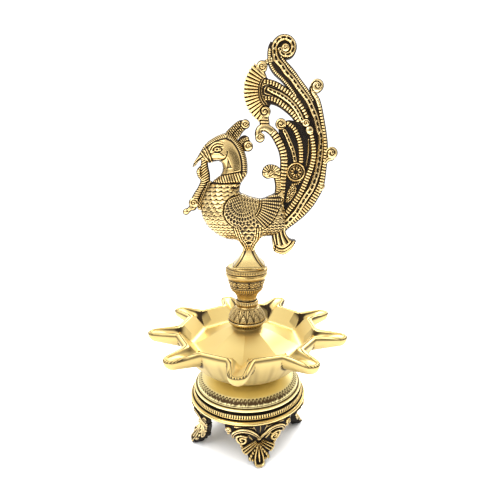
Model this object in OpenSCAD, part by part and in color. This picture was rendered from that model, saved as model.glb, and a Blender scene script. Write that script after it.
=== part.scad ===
// Brass oil lamp with a peacock finial: four cast feet, a domed base, a nine-spout dish, a turned stem.
// Millimetres, +Z up, origin on the table under the lamp's axis. The bird stands in the XZ plane.

/* [Base] */
// Height of the feet under the base ring
leg_h = 40; // [38:0.5:42]
// Number of feet round the base
leg_count = 4; // [4:1:4]
// Direction of the first foot, in degrees from +X
leg_start = -78; // [-90:1:-60]
// How far each foot stands off its even place, in degrees
leg_skew = [0, 3, 0, 3];
// How far each toe stands in from the usual place
toe_inset = [4.6, 0, 0, 0];
// Outer radius of the base ring's lower moulding
ring_r = 49.3; // [48:0.1:51]
// Height of the domed top of the base
dome_top = 61.5; // [60:0.5:63]

/* [Dish] */
// Height of the dish's rim
rim_z = 100; // [98:0.5:101]
// Outer radius of the dish's rim
rim_r = 59; // [58:0.5:61]
// Number of wick spouts
spout_count = 9; // [5:1:9]
// Direction of the first spout, in degrees from +X
spout_start = 265.6; // [250:0.2:290]
// Distance of the spout tips from the axis
spout_reach = 82; // [76:0.5:86]
// Thickness of a spout's wall
spout_wall = 3.8; // [1.8:0.1:4.4]

/* [Stem] */
// Height of the stem's foot on the dish
stem_z = 102; // [101.8:0.1:102.4]
// Height of the stem's top plate
stem_top = 153.3; // [152.5:0.1:154]
// Radius of the stem's top rim
stem_rim_r = 17.3; // [16.5:0.1:18]

/* [Threads] */
// Radius of the two lower studs
stud_r = 4; // [3.5:0.1:4.5]
// Radius of the peacock's stud
small_stud_r = 3; // [2.5:0.1:3.2]
// Radial clearance between a stud and its hole
stud_fit = 0.05; // [0.02:0.01:0.1]
// Gap between faces that are screwed down on each other
seat_gap = 0.2; // [0.1:0.05:0.3]

/* [Peacock] */
// Thickness of the main plume
plume_t = 8; // [6:0.5:9]
// Thickness of the smaller plumes
small_plume_t = 6.4; // [5:0.2:7]
// Thickness of the web behind the plumes
web_t = 4; // [3:0.2:5]
// Width of the bird's body, from side to side
body_w = 29; // [26:1:32]

/* [Hidden] */
$fn = 96;
hull_fn = 28;
big = 400;

// Heights that the pieces share
ring_top = leg_h + 8.6;
boss_z = 53.5;
dish_z = dome_top + seat_gap;
urn_z = 125;
collar_z = 119.5;
foot_z = stem_top + seat_gap;
hole_depth = 12;
hub_r = 12;
trough_z = rim_z - 14.5;
hub_z = stem_z - seat_gap;
// How far a spout rises for each millimetre that it runs outwards
spout_drop = 0.09;

// Screws that hold the feet
screw_r = 1.5;
screw_head_r = 2.8;
screw_ring = 41.5;

brass = "#c9a24a";
polished = "#e3c777";
antique = "#8a6a2f";
steel = "#8d8d8d";

// ---- curves and bands ----

// A point on the smooth curve through p1 and p2
function blend(p0, p1, p2, p3, t) = 0.5 * (2 * p1 + (p2 - p0) * t
    + (2 * p0 - 5 * p1 + 4 * p2 - p3) * t * t + (3 * p1 - p0 - 3 * p2 + p3) * t * t * t);

// A smooth curve through all of the points, with n steps from each point to the next
function curve(p, n = 3) = [
    for (i = [0:len(p) - 2], k = [0:n - 1])
        blend(p[max(i - 1, 0)], p[i], p[i + 1], p[min(i + 2, len(p) - 1)], k / n),
    p[len(p) - 1]];

// The unit normal to a path at point i
function normal_at(p, i) = let (d = p[min(i + 1, len(p) - 1)] - p[max(i - 1, 0)])
    [-d[1], d[0]] / norm(d);

// The outline of a band along a path, whose width runs evenly from w0 to w1 and whose far end is round
function band_outline(p, w0, w1) = let (
    n = len(p) - 1,
    side = normal_at(p, n) * w1 / 2,
    ahead = [side[1], -side[0]])
    concat(
        [for (i = [0:n]) p[i] + normal_at(p, i) * (w0 + (w1 - w0) * i / n) / 2],
        [for (a = [30:30:150]) p[n] + side * cos(a) + ahead * sin(a)],
        [for (i = [n:-1:0]) p[i] - normal_at(p, i) * (w0 + (w1 - w0) * i / n) / 2]);

// A flat band along a smooth path that narrows from w0 to w1
module band(points, w0, w1) {
    polygon(band_outline(curve(points), w0, w1));
}

// A round scroll end
module knob(at, r) {
    translate(at) circle(r, $fn = 32);
}

// Stands flat outlines up in the XZ plane, each t thick about y = 0
module upright(t) {
    for (i = [0:$children - 1]) rotate([90, 0, 0]) linear_extrude(height = t, center = true) children(i);
}

// A flattened ball in the bird's plane: centre x and z, radius, and its half width in y
module ball(x, z, r, half) {
    translate([x, 0, z]) scale([1, half / r, 1]) sphere(r, $fn = hull_fn);
}

// ---- base ----

module pedestal_dome() {
    outer = concat([[44, ring_top], [45.5, 49.6], [45.5, 50.6], [44.6, 51.4]],
        curve([[44.6, 51.4], [42.6, 54.2], [39.6, 57.2], [35, 59], [30, 60.2]]), [[26, dome_top]]);
    inner = concat([[9, dome_top - 3], [28, dome_top - 4.2]],
        curve([[33, 56.4], [38, 53.8], [40.6, 50.6]]), [[40.6, ring_top]]);
    color(polished) difference() {
        rotate_extrude() polygon(concat(outer, [[0, dome_top], [0, boss_z], [9, boss_z]], inner));
        translate([0, 0, boss_z - 1]) cylinder(r = stud_r + stud_fit, h = dome_top - boss_z + 2);
    }
}

module base_ring() {
    outer = concat([[38.5, leg_h], [ring_r - 1.5, leg_h]],
        curve([[ring_r - 0.6, leg_h + 0.4], [ring_r, leg_h + 1.9], [ring_r - 0.6, leg_h + 3.4]]),
        [[46.2, leg_h + 4.2], [46.8, leg_h + 5], [45.9, ring_top]]);
    color(antique) difference() {
        rotate_extrude() polygon(concat(outer, [[38.5, ring_top]]));
        each_leg() translate([screw_ring, 0, leg_h - 1]) cylinder(r = screw_r + stud_fit, h = 7);
    }
}

// One place per foot, with +X pointing outwards
module each_leg() {
    for (i = [0:leg_count - 1]) rotate(leg_angle(i)) children();
}

function leg_angle(i) = leg_start + 360 / leg_count * i + leg_skew[i];

// The curved sheet that every foot is cut from: a double bend from the ring down to the toe
module leg_sheet(inset) {
    outer = curve([[49.4, leg_h - seat_gap], [48.6, 34], [44.4, 26], [42.6, 19], [44.2 - 0.35 * inset, 12],
        [48.6 - 0.9 * inset, 6], [50.4 - inset, 3], [49.8 - inset, 0]]);
    inner = curve([[41 - 0.8 * inset, 0], [38.4 - 0.4 * inset, 7], [37.4, 14], [38.6, 22], [41.5, 30],
        [43.6, leg_h - 4]]);
    rotate_extrude() polygon(concat(outer, inner, [[43.6, leg_h - seat_gap]]));
}

// The foot's outline seen from outside: two scrolls at the top, a narrow ankle, a round toe
module leg_outline() {
    half = concat([[0, leg_h + 2], [26, leg_h + 2]],
        curve([[26.6, 38], [26.2, 32], [22.5, 28], [18.4, 24], [15.4, 19.6], [13, 13.5], [10.6, 9], [7.4, 5.4],
        [5.6, 2.6], [4.6, -1]]), [[0, -1]]);
    polygon(half);
    mirror([1, 0]) polygon(half);
}

module leg(i) {
    rotate(leg_angle(i)) color(antique) difference() {
        union() {
            intersection() {
                leg_sheet(toe_inset[i]);
                rotate([90, 0, 90]) linear_extrude(height = 60) leg_outline();
            }
            intersection() {
                translate([0, 0, leg_h - 3]) cylinder(r = 46, h = 3 - seat_gap / 2);
                translate([38.5, -10, 0]) cube([8, 20, big]);
            }
        }
        translate([screw_ring, 0, leg_h - 6]) cylinder(r = screw_r + stud_fit, h = 7);
        translate([screw_ring, 0, leg_h - 8]) cylinder(r = screw_head_r + 0.4, h = 5);
    }
}

module leg_screws() {
    color(steel) each_leg() translate([screw_ring, 0, 0]) {
        translate([0, 0, leg_h - 5]) cylinder(r = screw_head_r, h = 2);
        translate([0, 0, leg_h - 4]) cylinder(r = screw_r, h = 9);
    }
}

// ---- dish ----

// The inside surface of the bowl, from the raised hub down to the oil trough and up past the rim
function bowl_line() = concat([[hub_r, hub_z]],
    curve([[40, 89], [44, trough_z + 1.9], [46.8, trough_z + 1.5], [49.2, rim_z - 11.2], [53, rim_z - 6],
    [rim_r - 2, rim_z]]));

// The bowl as a solid block, with the hub's full height all over
module bowl_block() {
    outer = curve([[25.5, dish_z], [33, 65.6], [41, 70.4], [48.4, 77.4], [54, 86], [57.6, 94], [rim_r, rim_z]]);
    rotate_extrude() polygon(concat([[0, dish_z]], outer, [[rim_r, hub_z], [0, hub_z]]));
}

// The space above the bowl's inside surface, and all that is higher than the rim outside the hub
module bowl_space() {
    rotate_extrude() polygon(concat(bowl_line(), [[big, rim_z], [big, hub_z + 9], [hub_r, hub_z + 9]]));
}

// The hollow under the floor, round the hub's post
module bowl_core() {
    rotate_extrude() polygon([[9, dish_z - 1], [9, 98.4], [12, 98.4], [41, 85], [44.2, 82.2], [43, 78.6], [37, 72.6],
        [29, 68], [22.5, 66], [22.5, dish_z - 1]]);
}

// A round-nosed cone along +X, whose nose ends at the spout's reach: trim takes metal off all round
module spout_cone(trim, start) {
    root_at = 54;
    root_r = 11;
    nose_r = 6.4;
    nose_at = spout_reach - nose_r;
    slope = (root_r - nose_r) / (nose_at - root_at);
    start_r = nose_r + slope * (nose_at - start) - trim;
    tip_r = nose_r - trim;
    nose = [for (a = [0:15:90]) [tip_r * cos(a), nose_at - start + tip_r * sin(a)]];
    translate([start, 0, rim_z - 1.8 - (nose_at - start) * spout_drop]) rotate([0, 90 - atan(spout_drop), 0])
        rotate_extrude() polygon(concat([[0, 0], [start_r, 0]], nose));
}

module each_spout() {
    for (k = [0:spout_count - 1]) rotate(spout_start + 360 / spout_count * k) children();
}

module dish() {
    color(polished) difference() {
        union() {
            bowl_block();
            each_spout() spout_cone(0, 54);
        }
        bowl_space();
        bowl_core();
        each_spout() spout_cone(spout_wall, 49);
        translate([0, 0, dish_z - 1]) cylinder(r = stud_r + stud_fit, h = hole_depth + 1.5);
        translate([0, 0, stem_z - hole_depth]) cylinder(r = stud_r + stud_fit, h = hole_depth + 1);
    }
}

module stud(bottom, top, r) {
    color(steel) translate([0, 0, bottom]) cylinder(r = r, h = top - bottom);
}

// ---- stem ----

module stem_bulb() {
    side = curve([[12.2, stem_z], [13.2, 103], [14.8, 105], [16, 106.8], [15.6, 109.2], [14, 112.6], [11.6, 116],
        [9.4, 118.4], [8.8, collar_z]]);
    color(antique) difference() {
        rotate_extrude() polygon(concat(side, [[0, collar_z], [0, stem_z]]));
        translate([0, 0, stem_z - 1]) cylinder(r = stud_r + stud_fit, h = hole_depth + 1);
    }
}

module stem_collar() {
    side = curve([[8.6, collar_z], [9.2, collar_z + 0.6], [9.4, 122.2], [9.2, 124.2], [8.7, urn_z]]);
    color(brass) rotate_extrude() polygon(concat(side, [[0, urn_z], [0, collar_z]]));
}

module stem_urn() {
    side = concat(curve([[8.4, urn_z], [8.4, 126.6], [9.2, 129], [11.2, 131.4], [12.6, 132.8], [13.8, 135.8]]),
        curve([[14, 136.4], [15, 139.6], [16, 143.2], [17, 145.8], [16.6, 148]]),
        [[stem_rim_r - 0.3, 148.4], [stem_rim_r, 149], [stem_rim_r, 151.2], [stem_rim_r - 0.6, 151.8],
         [15.6, 152.2], [15.4, stem_top]]);
    color(antique) difference() {
        rotate_extrude() polygon(concat(side, [[0, stem_top], [0, urn_z]]));
        translate([0, 0, stem_top - hole_depth]) cylinder(r = small_stud_r + stud_fit, h = hole_depth + 1);
    }
}

// ---- peacock ----

// A four-sided foot with hollow sides, and the narrow shank that it carries
module peacock_foot() {
    side = concat([[13.4, foot_z]], curve([[13, foot_z + 1.6], [9.2, 158], [6, 162.4], [4.8, 165.6], [5.2, 169],
        [7.4, 173]]), [[9, 176]]);
    full = concat(side, [for (i = [len(side) - 1:-1:0]) [-side[i][0], side[i][1]]]);
    color(polished) difference() {
        translate([2, 0, 0]) intersection() {
            upright(60) polygon(full);
            rotate(90) upright(60) polygon(full);
        }
        translate([0, 0, foot_z - 1]) cylinder(r = small_stud_r + stud_fit, h = 8.5);
    }
}

module peacock_body() {
    half = body_w / 2;
    color(brass) {
        hull() {
            ball(-13, 196.5, 21.6, half);
            ball(8, 191.6, 17.6, half - 1);
            ball(22, 194, 11, half - 5);
        }
        hull() {
            ball(-17, 206, 14, half - 3);
            ball(-10.5, 222, 10, 8);
        }
        hull() {
            ball(-10.5, 222, 10, 8);
            ball(-8.5, 234, 9.6, 7);
        }
        hull() {
            ball(-8.5, 234, 9.6, 7);
            ball(-16.5, 245.4, 10.4, 7);
        }
        hull() {
            ball(-16.5, 245.4, 9.4, 6.6);
            ball(-30, 241, 5.6, 4);
            ball(-38.6, 235, 2.4, 2);
            ball(-40.2, 232.4, 1.2, 1.2);
        }
    }
}

module crest() {
    color(antique) upright(small_plume_t) {
        polygon([[-16, 253], [-12, 258.6], [-6, 262.6], [-1, 264], [2.5, 263.8], [3.6, 261], [1.6, 258.6],
            [-0.6, 256], [-2, 252], [-3, 249], [-10, 250]]);
        knob([0.3, 262.1], 3.4);
        knob([1.4, 247.6], 4.1);
        band([[-2, 236], [-2.6, 242], [-2.4, 247], [-3.4, 252]], 6, 6);
    }
}

module garland() {
    color(antique) upright(5) {
        band([[-27, 237.5], [-29.6, 234], [-30.6, 228], [-31, 221], [-33, 214], [-36.5, 208.5], [-41, 203.5]], 5, 6);
        knob([-41, 204], 4.2);
        knob([-45, 199.6], 3.4);
    }
}

// The thick plume that carries the tail, with the great scroll at its top
module main_plume(t) {
    upright(t) {
        band([[22, 180], [31.4, 187.7], [40, 197], [47.1, 209.1], [52.9, 220.6], [56, 233], [57, 244.1], [56, 256],
            [52.5, 267.5], [48, 277.5], [42, 286], [35, 293.8], [27, 302], [23.6, 308]], 5.4, 8.6);
        band([[38.5, 284.5], [30, 293], [22, 302.5], [19.4, 310], [19.6, 317], [24.2, 322], [30, 322],
            [33.2, 318], [32, 313.4]], 6, 5);
        knob([29.4, 315], 4.4);
    }
}

module ribbed_plume(t) {
    upright(t) {
        band([[22, 186], [30, 193.4], [35, 199.9], [40, 207], [43.6, 213.4], [47, 221], [50, 230], [51.6, 240],
            [51, 249], [48.6, 256.5]], 4.4, 5);
        knob([45.6, 262.6], 3.2);
        knob([47, 259], 3);
    }
}

module inner_plume(t) {
    upright(t) {
        band([[27, 200], [28.6, 212], [29, 222], [29.6, 233], [28.6, 242], [25, 250.6], [20.6, 257], [14.6, 259.4],
            [10.8, 256.6]], 6, 4.6);
        knob([11.2, 252.9], 3.8);
    }
}

module tail_web() {
    color(antique) upright(web_t) polygon(concat(
        curve([[18, 190], [25, 203], [27.5, 216], [29, 229], [31, 240], [28, 250], [22.8, 259.6], [24, 266.4]]),
        curve([[29, 267.6], [35, 263.8], [40, 268], [46, 266], [51, 262]]),
        curve([[54, 252], [54.6, 240], [52, 226], [46, 211], [38, 197], [30, 189]])));
}

module tail_main_plume() {
    color(brass) main_plume(plume_t);
}

module tail_outer_plume() {
    color(brass) difference() {
        upright(small_plume_t) {
            band([[28, 181], [36.4, 188.4], [45.7, 197], [53, 206.5], [57.6, 217], [59.4, 229], [60.4, 242],
                [60.6, 252], [58, 265], [54.8, 276], [51.6, 284]], 4.4, 5.4);
            knob([65, 241.3], 4.8);
            knob([59.5, 216.3], 3);
            knob([52.8, 289], 4.9);
        }
        main_plume(big);
    }
}

module tail_ribbed_plume() {
    color(brass) difference() {
        ribbed_plume(small_plume_t + 0.8);
        main_plume(big);
    }
}

module tail_inner_plume() {
    color(brass) inner_plume(small_plume_t);
}

module tail_hook() {
    color(brass) difference() {
        upright(small_plume_t) {
            band([[22, 202], [24.4, 210], [25.2, 217], [24.6, 223], [21.6, 228]], 5.4, 4.4);
            knob([17.9, 228], 5);
        }
        inner_plume(big);
    }
}

module eye_feather() {
    tip = curve([[33, 268], [26.3, 273.8], [21.3, 276.3], [15.6, 277.4], [13, 281], [12.2, 286], [12.6, 291],
        [15, 294.6], [21.3, 293.4], [30, 289.6], [36, 284.4], [43, 276], [47, 270], [48.4, 265]]);
    color(brass) difference() {
        upright(small_plume_t) polygon(concat(tip, [[42, 262]]));
        main_plume(big);
        ribbed_plume(big);
    }
}

module fan_shell() {
    edge = curve([[11.6, 265], [6.3, 269.6], [1.6, 276], [-0.8, 284], [-0.2, 293], [2.5, 300], [7.5, 305]]);
    back = curve([[12.4, 300], [11.8, 295], [10.6, 290], [10.6, 285], [11.9, 280], [14.6, 276.4], [17.6, 270],
        [18.2, 265], [18.6, 261.6]]);
    color(brass) difference() {
        upright(small_plume_t) {
            polygon(concat(edge, back, [[10.4, 261.6]]));
            knob([12.8, 303], 4.2);
            knob([14.4, 272.8], 3.6);
            band([[13, 305], [17, 306.4], [20, 305.6]], 3.6, 3.4);
        }
        main_plume(big);
        inner_plume(big);
    }
}

module under_tail_plume() {
    color(brass) upright(12) polygon(concat(
        curve([[21, 183], [23, 176], [22.4, 170], [21.4, 165.9]]),
        curve([[26, 162.8], [30, 162.6], [34, 165.4], [38, 169.6], [39.6, 173.6]]),
        curve([[35, 175], [32, 178.6], [30.6, 184]])));
}

pedestal_dome();
base_ring();
leg(0);  // leg_front
leg(1);  // leg_right
leg(2);  // leg_rear
leg(3);  // leg_left
leg_screws();
stud(boss_z + 0.5, dish_z + hole_depth, stud_r);  // dish_stud
dish();
stud(stem_z - hole_depth + 0.5, stem_z + hole_depth - 1, stud_r);  // stem_stud
stem_bulb();
stem_collar();
stem_urn();
stud(stem_top - hole_depth + 0.5, foot_z + 7, small_stud_r);  // peacock_stud
peacock_foot();
peacock_body();
crest();
garland();
tail_web();
tail_main_plume();
tail_outer_plume();
tail_ribbed_plume();
tail_inner_plume();
tail_hook();
eye_feather();
fan_shell();
under_tail_plume();
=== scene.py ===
"""Brass peacock oil lamp: the looks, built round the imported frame.

Every length below is in millimetres in the lamp's own frame: the table is z = 0, the lamp's axis is
x = y = 0, and the bird stands in the XZ plane with its beak towards -X. mesh() turns them into metres.
Only the camera and the lights are placed in metres.
"""
import math

import bpy
import numpy as np
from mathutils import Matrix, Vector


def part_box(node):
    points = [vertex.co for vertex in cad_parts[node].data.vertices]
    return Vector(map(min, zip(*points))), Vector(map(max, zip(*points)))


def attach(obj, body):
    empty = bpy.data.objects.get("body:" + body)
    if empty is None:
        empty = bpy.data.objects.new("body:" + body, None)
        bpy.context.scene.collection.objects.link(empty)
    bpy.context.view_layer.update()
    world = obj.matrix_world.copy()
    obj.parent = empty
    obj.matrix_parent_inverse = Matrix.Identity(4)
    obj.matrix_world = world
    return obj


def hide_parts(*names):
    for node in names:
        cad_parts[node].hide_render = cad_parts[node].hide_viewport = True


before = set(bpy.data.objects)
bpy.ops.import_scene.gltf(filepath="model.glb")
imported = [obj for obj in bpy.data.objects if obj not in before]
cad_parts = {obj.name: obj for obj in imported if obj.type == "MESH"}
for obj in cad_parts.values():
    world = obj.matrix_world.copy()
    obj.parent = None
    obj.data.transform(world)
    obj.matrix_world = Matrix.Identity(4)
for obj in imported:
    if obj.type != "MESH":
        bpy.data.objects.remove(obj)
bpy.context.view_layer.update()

MM = 0.001
TAU = 2 * math.pi


def top_of(node):
    """The height of a CAD node's highest point."""
    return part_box(node)[1][2] / MM


def foot_of(node):
    """The height of a CAD node's lowest point."""
    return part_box(node)[0][2] / MM


# ---- lines, curves and scrolls in a plane ----

def curve(points, step=0.5):
    """A smooth path through the points, cut into even steps."""
    p = np.array(points, float)
    ends = np.vstack([2 * p[0] - p[1], p, 2 * p[-1] - p[-2]])
    fine = []
    cuts_per_span = 24
    t = np.linspace(0, 1, cuts_per_span, endpoint=False)[:, None]
    for i in range(len(p) - 1):
        a, b, c, d = ends[i:i + 4]
        fine.append(0.5 * (2 * b + (c - a) * t + (2 * a - 5 * b + 4 * c - d) * t**2
            + (3 * b - a - 3 * c + d) * t**3))
    fine = np.vstack(fine + [p[-1:]])
    return even(fine, step)


def run_of(path):
    """How far along a path each of its points lies."""
    return np.concatenate([[0], np.cumsum(np.hypot(*np.diff(path, axis=0).T))])


def even(path, step):
    """The same path with its points at even distances."""
    run = run_of(path)
    count = max(int(run[-1] / step), 2)
    at = np.linspace(0, run[-1], count + 1)
    return np.stack([np.interp(at, run, path[:, k]) for k in range(2)], 1)


def polar(centre, radius, angle):
    """Points round a centre, from their radius and their angle in radians."""
    return np.stack([centre[0] + radius * np.cos(angle), centre[1] + radius * np.sin(angle)], 1)


def arc(centre, radius, start, end, count):
    """Part of a circle, from a start angle to an end angle in degrees."""
    return polar(centre, radius, np.radians(np.linspace(start, end, count)))


def scroll(centre, start, turns, end_radius):
    """A spiral from a start point in to end_radius round a centre. Positive turns go anticlockwise."""
    step, fewest = 0.35, 12
    inward = np.subtract(start, centre)
    radius = np.hypot(*inward)
    t = np.linspace(0, 1, max(int(abs(turns) * TAU * radius / step), fewest))
    angle = math.atan2(*inward[::-1]) + turns * TAU * t
    return polar(centre, radius + (end_radius - radius) * t**0.8, angle)


def joined(*paths):
    """One path made of several, end to end."""
    return np.vstack(paths)


def shifted(path, left):
    """The path moved sideways, to its left."""
    d = np.gradient(path, axis=0)
    n = np.stack([-d[:, 1], d[:, 0]], 1) / np.hypot(*d.T)[:, None]
    return path + n * left


# ---- small height patterns ----

def notch(turns, sharp):
    """0 to 1, with a narrow peak at every whole number."""
    return (0.5 + 0.5 * np.cos(TAU * turns)) ** sharp


def ramp(x, low, high):
    """0 below low, 1 above high, smooth between."""
    t = np.clip((x - low) / (high - low), 0, 1)
    return t * t * (3 - 2 * t)


def within(x, low, high, soft=0.15):
    """1 between low and high, 0 outside, with soft edges."""
    return ramp(x, low - soft, low + soft) * (1 - ramp(x, high - soft, high + soft))


def peak(x, width):
    """1 where x is 0, falling off to nothing on both sides."""
    return np.exp(-(x / width) ** 2)


def mixed(a, b, share):
    """a where share is 0, b where it is 1."""
    return a * (1 - share) + b * share


# A band's pattern is a function of the run along it, the place across it from -1 to 1, and its width.

def ribs(pitch, depth, slant=0.0):
    """Short ridges across a band."""
    def height(run, across, width):
        return -depth * notch((run + slant * across * width / 2) / pitch, 1.7)
    return height


def dashes(pitch, depth):
    """Two rails, with a row of long slots between them."""
    def height(run, across, _):
        slot = ramp(0.42 - np.abs(across), 0, 0.14) * ramp(0.37 - np.abs((run / pitch) % 1 - 0.5), 0, 0.06)
        groove = peak(np.abs(across) - 0.60, 0.10)
        return -depth * slot - 0.3 * depth * groove
    return height


def rails(depth):
    """Two rounded rails along a band, with a cut line between them."""
    def height(_, across, __):
        return -depth * notch(across, 2.0)
    return height


class Relief:
    """A drawing on a grid of small cells. inside is how far a point lies within the outline, height is how
    far it stands off the ground, and stain is patina and painted shade put on it. u runs across, v up.
    A path given as a list of points is smoothed, and one given as an array is taken as it is."""

    FAR, LOW, UNDRAWN = 99.0, -5.0, -9.0
    OUTLINE_REACH = 3.0
    EDGE_DROP = 0.6
    # The thin ground beside a band is patina in its step and painted shade along the band's outline
    RIM_HEIGHT, RIM_STAIN = 0.05, 0.9

    def __init__(self, u_range, v_range, cell):
        self.cell = cell
        self.u = np.arange(u_range[0], u_range[1] + cell, cell)
        self.v = np.arange(v_range[0], v_range[1] + cell, cell)
        self.uu, self.vv = np.meshgrid(self.u, self.v, indexing="ij")
        self.inside = np.full(self.uu.shape, self.UNDRAWN)
        self.height = np.full(self.uu.shape, self.LOW)
        self.stain = np.zeros(self.uu.shape)

    def along(self, path, reach):
        """For every point near a path: its distance, its run along the path, and its distance with a sign,
        positive on the left. Last comes the path's length."""
        path = curve(path) if isinstance(path, list) else path
        dist = np.full(self.uu.shape, self.FAR)
        run, side = np.zeros(self.uu.shape), np.zeros(self.uu.shape)
        length = 0.0
        for a, b in zip(path[:-1], path[1:]):
            seg = b - a
            n = math.hypot(*seg)
            if n < 1e-6:
                continue
            i0, i1 = np.searchsorted(self.u, [min(a[0], b[0]) - reach, max(a[0], b[0]) + reach])
            j0, j1 = np.searchsorted(self.v, [min(a[1], b[1]) - reach, max(a[1], b[1]) + reach])
            if i0 < i1 and j0 < j1:
                near = np.s_[i0:i1, j0:j1]
                du, dv = self.uu[near] - a[0], self.vv[near] - a[1]
                t = np.clip((du * seg[0] + dv * seg[1]) / n**2, 0, 1)
                d = np.hypot(du - t * seg[0], dv - t * seg[1])
                best = d < dist[near]
                dist[near][best] = d[best]
                run[near][best] = (length + t * n)[best]
                side[near][best] = (np.sign(seg[0] * dv - seg[1] * du) * d)[best]
            length += n
        return dist, run, side, length

    def raise_to(self, depth, height, stain=0.0):
        """Adds a shape to the outline, and lifts what is lower than it inside the shape."""
        on = (depth > 0) & (height > self.height)
        self.height[on] = height[on]
        self.stain[on] = np.broadcast_to(stain, on.shape)[on]
        self.inside = np.maximum(self.inside, depth)

    def band(self, path, width, top, pattern=None, stain=0.0, round_edge=0.7, crown=0.25, rim=0.5):
        """A raised band on a thin dark ground that shows beside it as a rim. width is one number, or
        several that are spread evenly along the path."""
        widths = np.atleast_1d(np.array(width, float))
        dist, run, side, length = self.along(path, widths.max() / 2 + rim + 2 * self.cell)
        w = np.interp(run / length, np.linspace(0, 1, len(widths)), widths)
        across = 2 * side / w
        depth = w / 2 - dist
        edge = np.clip(1 - depth / round_edge, 0, 1)
        height = top - crown * top * across**2 - round_edge * self.EDGE_DROP * edge**2
        # The rim: patina, and painted shade along the band's outline
        if rim:
            self.raise_to(depth + rim, np.full(dist.shape, self.RIM_HEIGHT), self.RIM_STAIN)
        dark = np.full(dist.shape, stain)
        if pattern is not None:
            cut = pattern(run, across, w)
            height = height + cut
            dark = np.maximum(stain, 0.8 * np.clip(-cut - 0.15, 0, 1))
        self.raise_to(depth, height, dark)

    def knob(self, centre, radius, top, curl=0):
        """A round boss. curl cuts a scroll line into it: 1 anticlockwise, -1 clockwise."""
        d = np.hypot(self.uu - centre[0], self.vv - centre[1]) / radius
        height = top * np.sqrt(np.clip(1 - 0.75 * d**2, 0.02, 1))
        self.raise_to((1 - d) * radius, height)
        if curl:
            start = (centre[0] + 0.72 * radius, centre[1])
            self.groove(scroll(centre, start, 1.3 * curl, 0.1 * radius), 0.32, 0.8)

    def groove(self, path, width, depth, stain=0.0):
        """A cut line along a path."""
        cut = peak(self.along(path, 3 * width)[0], width)
        self.height -= depth * cut
        self.darken(stain * cut)

    def ridge(self, path, width, lift):
        """A raised line along a path, on what is already there."""
        self.height += lift * peak(self.along(path, 3 * width)[0], width)

    def redraw(self, on, height, stain):
        """Takes a new height and stain where on is 1."""
        self.height = mixed(self.height, height, on)
        self.stain = mixed(self.stain, stain, on)

    def darken(self, stain):
        """Stains what is lighter than this."""
        self.stain = np.maximum(self.stain, stain)

    def depth_in(self, outline):
        """How far each point lies within a closed outline, and negative outside it."""
        outline = curve(outline) if isinstance(outline, list) else outline
        closed = np.vstack([outline, outline[:1]])
        dist = self.along(closed, self.OUTLINE_REACH)[0]
        odd = np.zeros(self.uu.shape, bool)
        for a, b in zip(closed[:-1], closed[1:]):
            if a[1] == b[1]:
                continue
            j0, j1 = np.searchsorted(self.v, sorted((a[1], b[1])))
            x = a[0] + (self.v[j0:j1] - a[1]) * (b[0] - a[0]) / (b[1] - a[1])
            odd[:, j0:j1] ^= x[None, :] > self.u[:, None]
        return np.where(odd, dist, -dist)

    def fill(self, outline, top, stain=0.0, round_edge=0.7):
        """A raised flat shape inside a closed outline."""
        depth = self.depth_in(outline)
        edge = np.clip(1 - depth / round_edge, 0, 1)
        self.raise_to(depth, top - round_edge * self.EDGE_DROP * edge**2, stain)

    def blurred(self, size, height=None):
        """The height averaged over a square of the given half width, within the outline."""
        height = self.height if height is None else height
        mask = (self.inside > 0).astype(float)
        n = max(int(size / self.cell), 1)
        total, weight = height * mask, mask
        for axis in (0, 1):
            for _ in range(2):
                total, weight = (box_blur(x, n, axis) for x in (total, weight))
        return total / np.maximum(weight, 1e-6)

    def patina(self, gain=3.2, bias=0.14):
        """Where dirt would stay: low places beside high ones, and what was stained or painted with shade."""
        reach = 1.1
        low = (self.blurred(reach) - self.height) * gain + bias
        fine = (self.blurred(0.5 * reach) - self.height) * 1.4 * gain
        return np.clip(np.maximum(low, fine) + self.stain, -0.3, 1)


def box_blur(x, n, axis):
    """The mean of 2n + 1 neighbours along one axis."""
    pad = [(n + 1, n) if k == axis else (0, 0) for k in range(2)]
    total = np.cumsum(np.pad(x, pad), axis=axis)
    size = x.shape[axis]
    high = np.take(total, np.arange(2 * n + 1, 2 * n + 1 + size), axis=axis)
    low = np.take(total, np.arange(size), axis=axis)
    return (high - low) / (2 * n + 1)


# ---- meshes ----

def mesh(name, points, faces, patina, sharp):
    """An object from points in mm and arrays of equal-sided faces, with its patina and painted shade on
    its points. Edges sharper than this many degrees stay sharp, or none of them at 0."""
    data = bpy.data.meshes.new(name)
    data.vertices.add(len(points))
    data.vertices.foreach_set("co", (np.asarray(points) * MM).ravel())
    faces = [f for f in faces if len(f)]
    sizes = np.concatenate([np.full(len(f), f.shape[1]) for f in faces])
    data.loops.add(int(sizes.sum()))
    data.loops.foreach_set("vertex_index", np.concatenate([f.ravel() for f in faces]).astype(np.int32))
    data.polygons.add(len(sizes))
    data.polygons.foreach_set("loop_start", np.concatenate([[0], np.cumsum(sizes)[:-1]]).astype(np.int32))
    data.update(calc_edges=True)
    data.validate()
    layer = data.attributes.new("patina", "FLOAT", "POINT")
    layer.data.foreach_set("value", patina)
    data.shade_smooth()
    if sharp:
        data.set_sharp_from_angle(angle=math.radians(sharp))
    obj = bpy.data.objects.new(name, data)
    bpy.context.scene.collection.objects.link(obj)
    return obj


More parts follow.
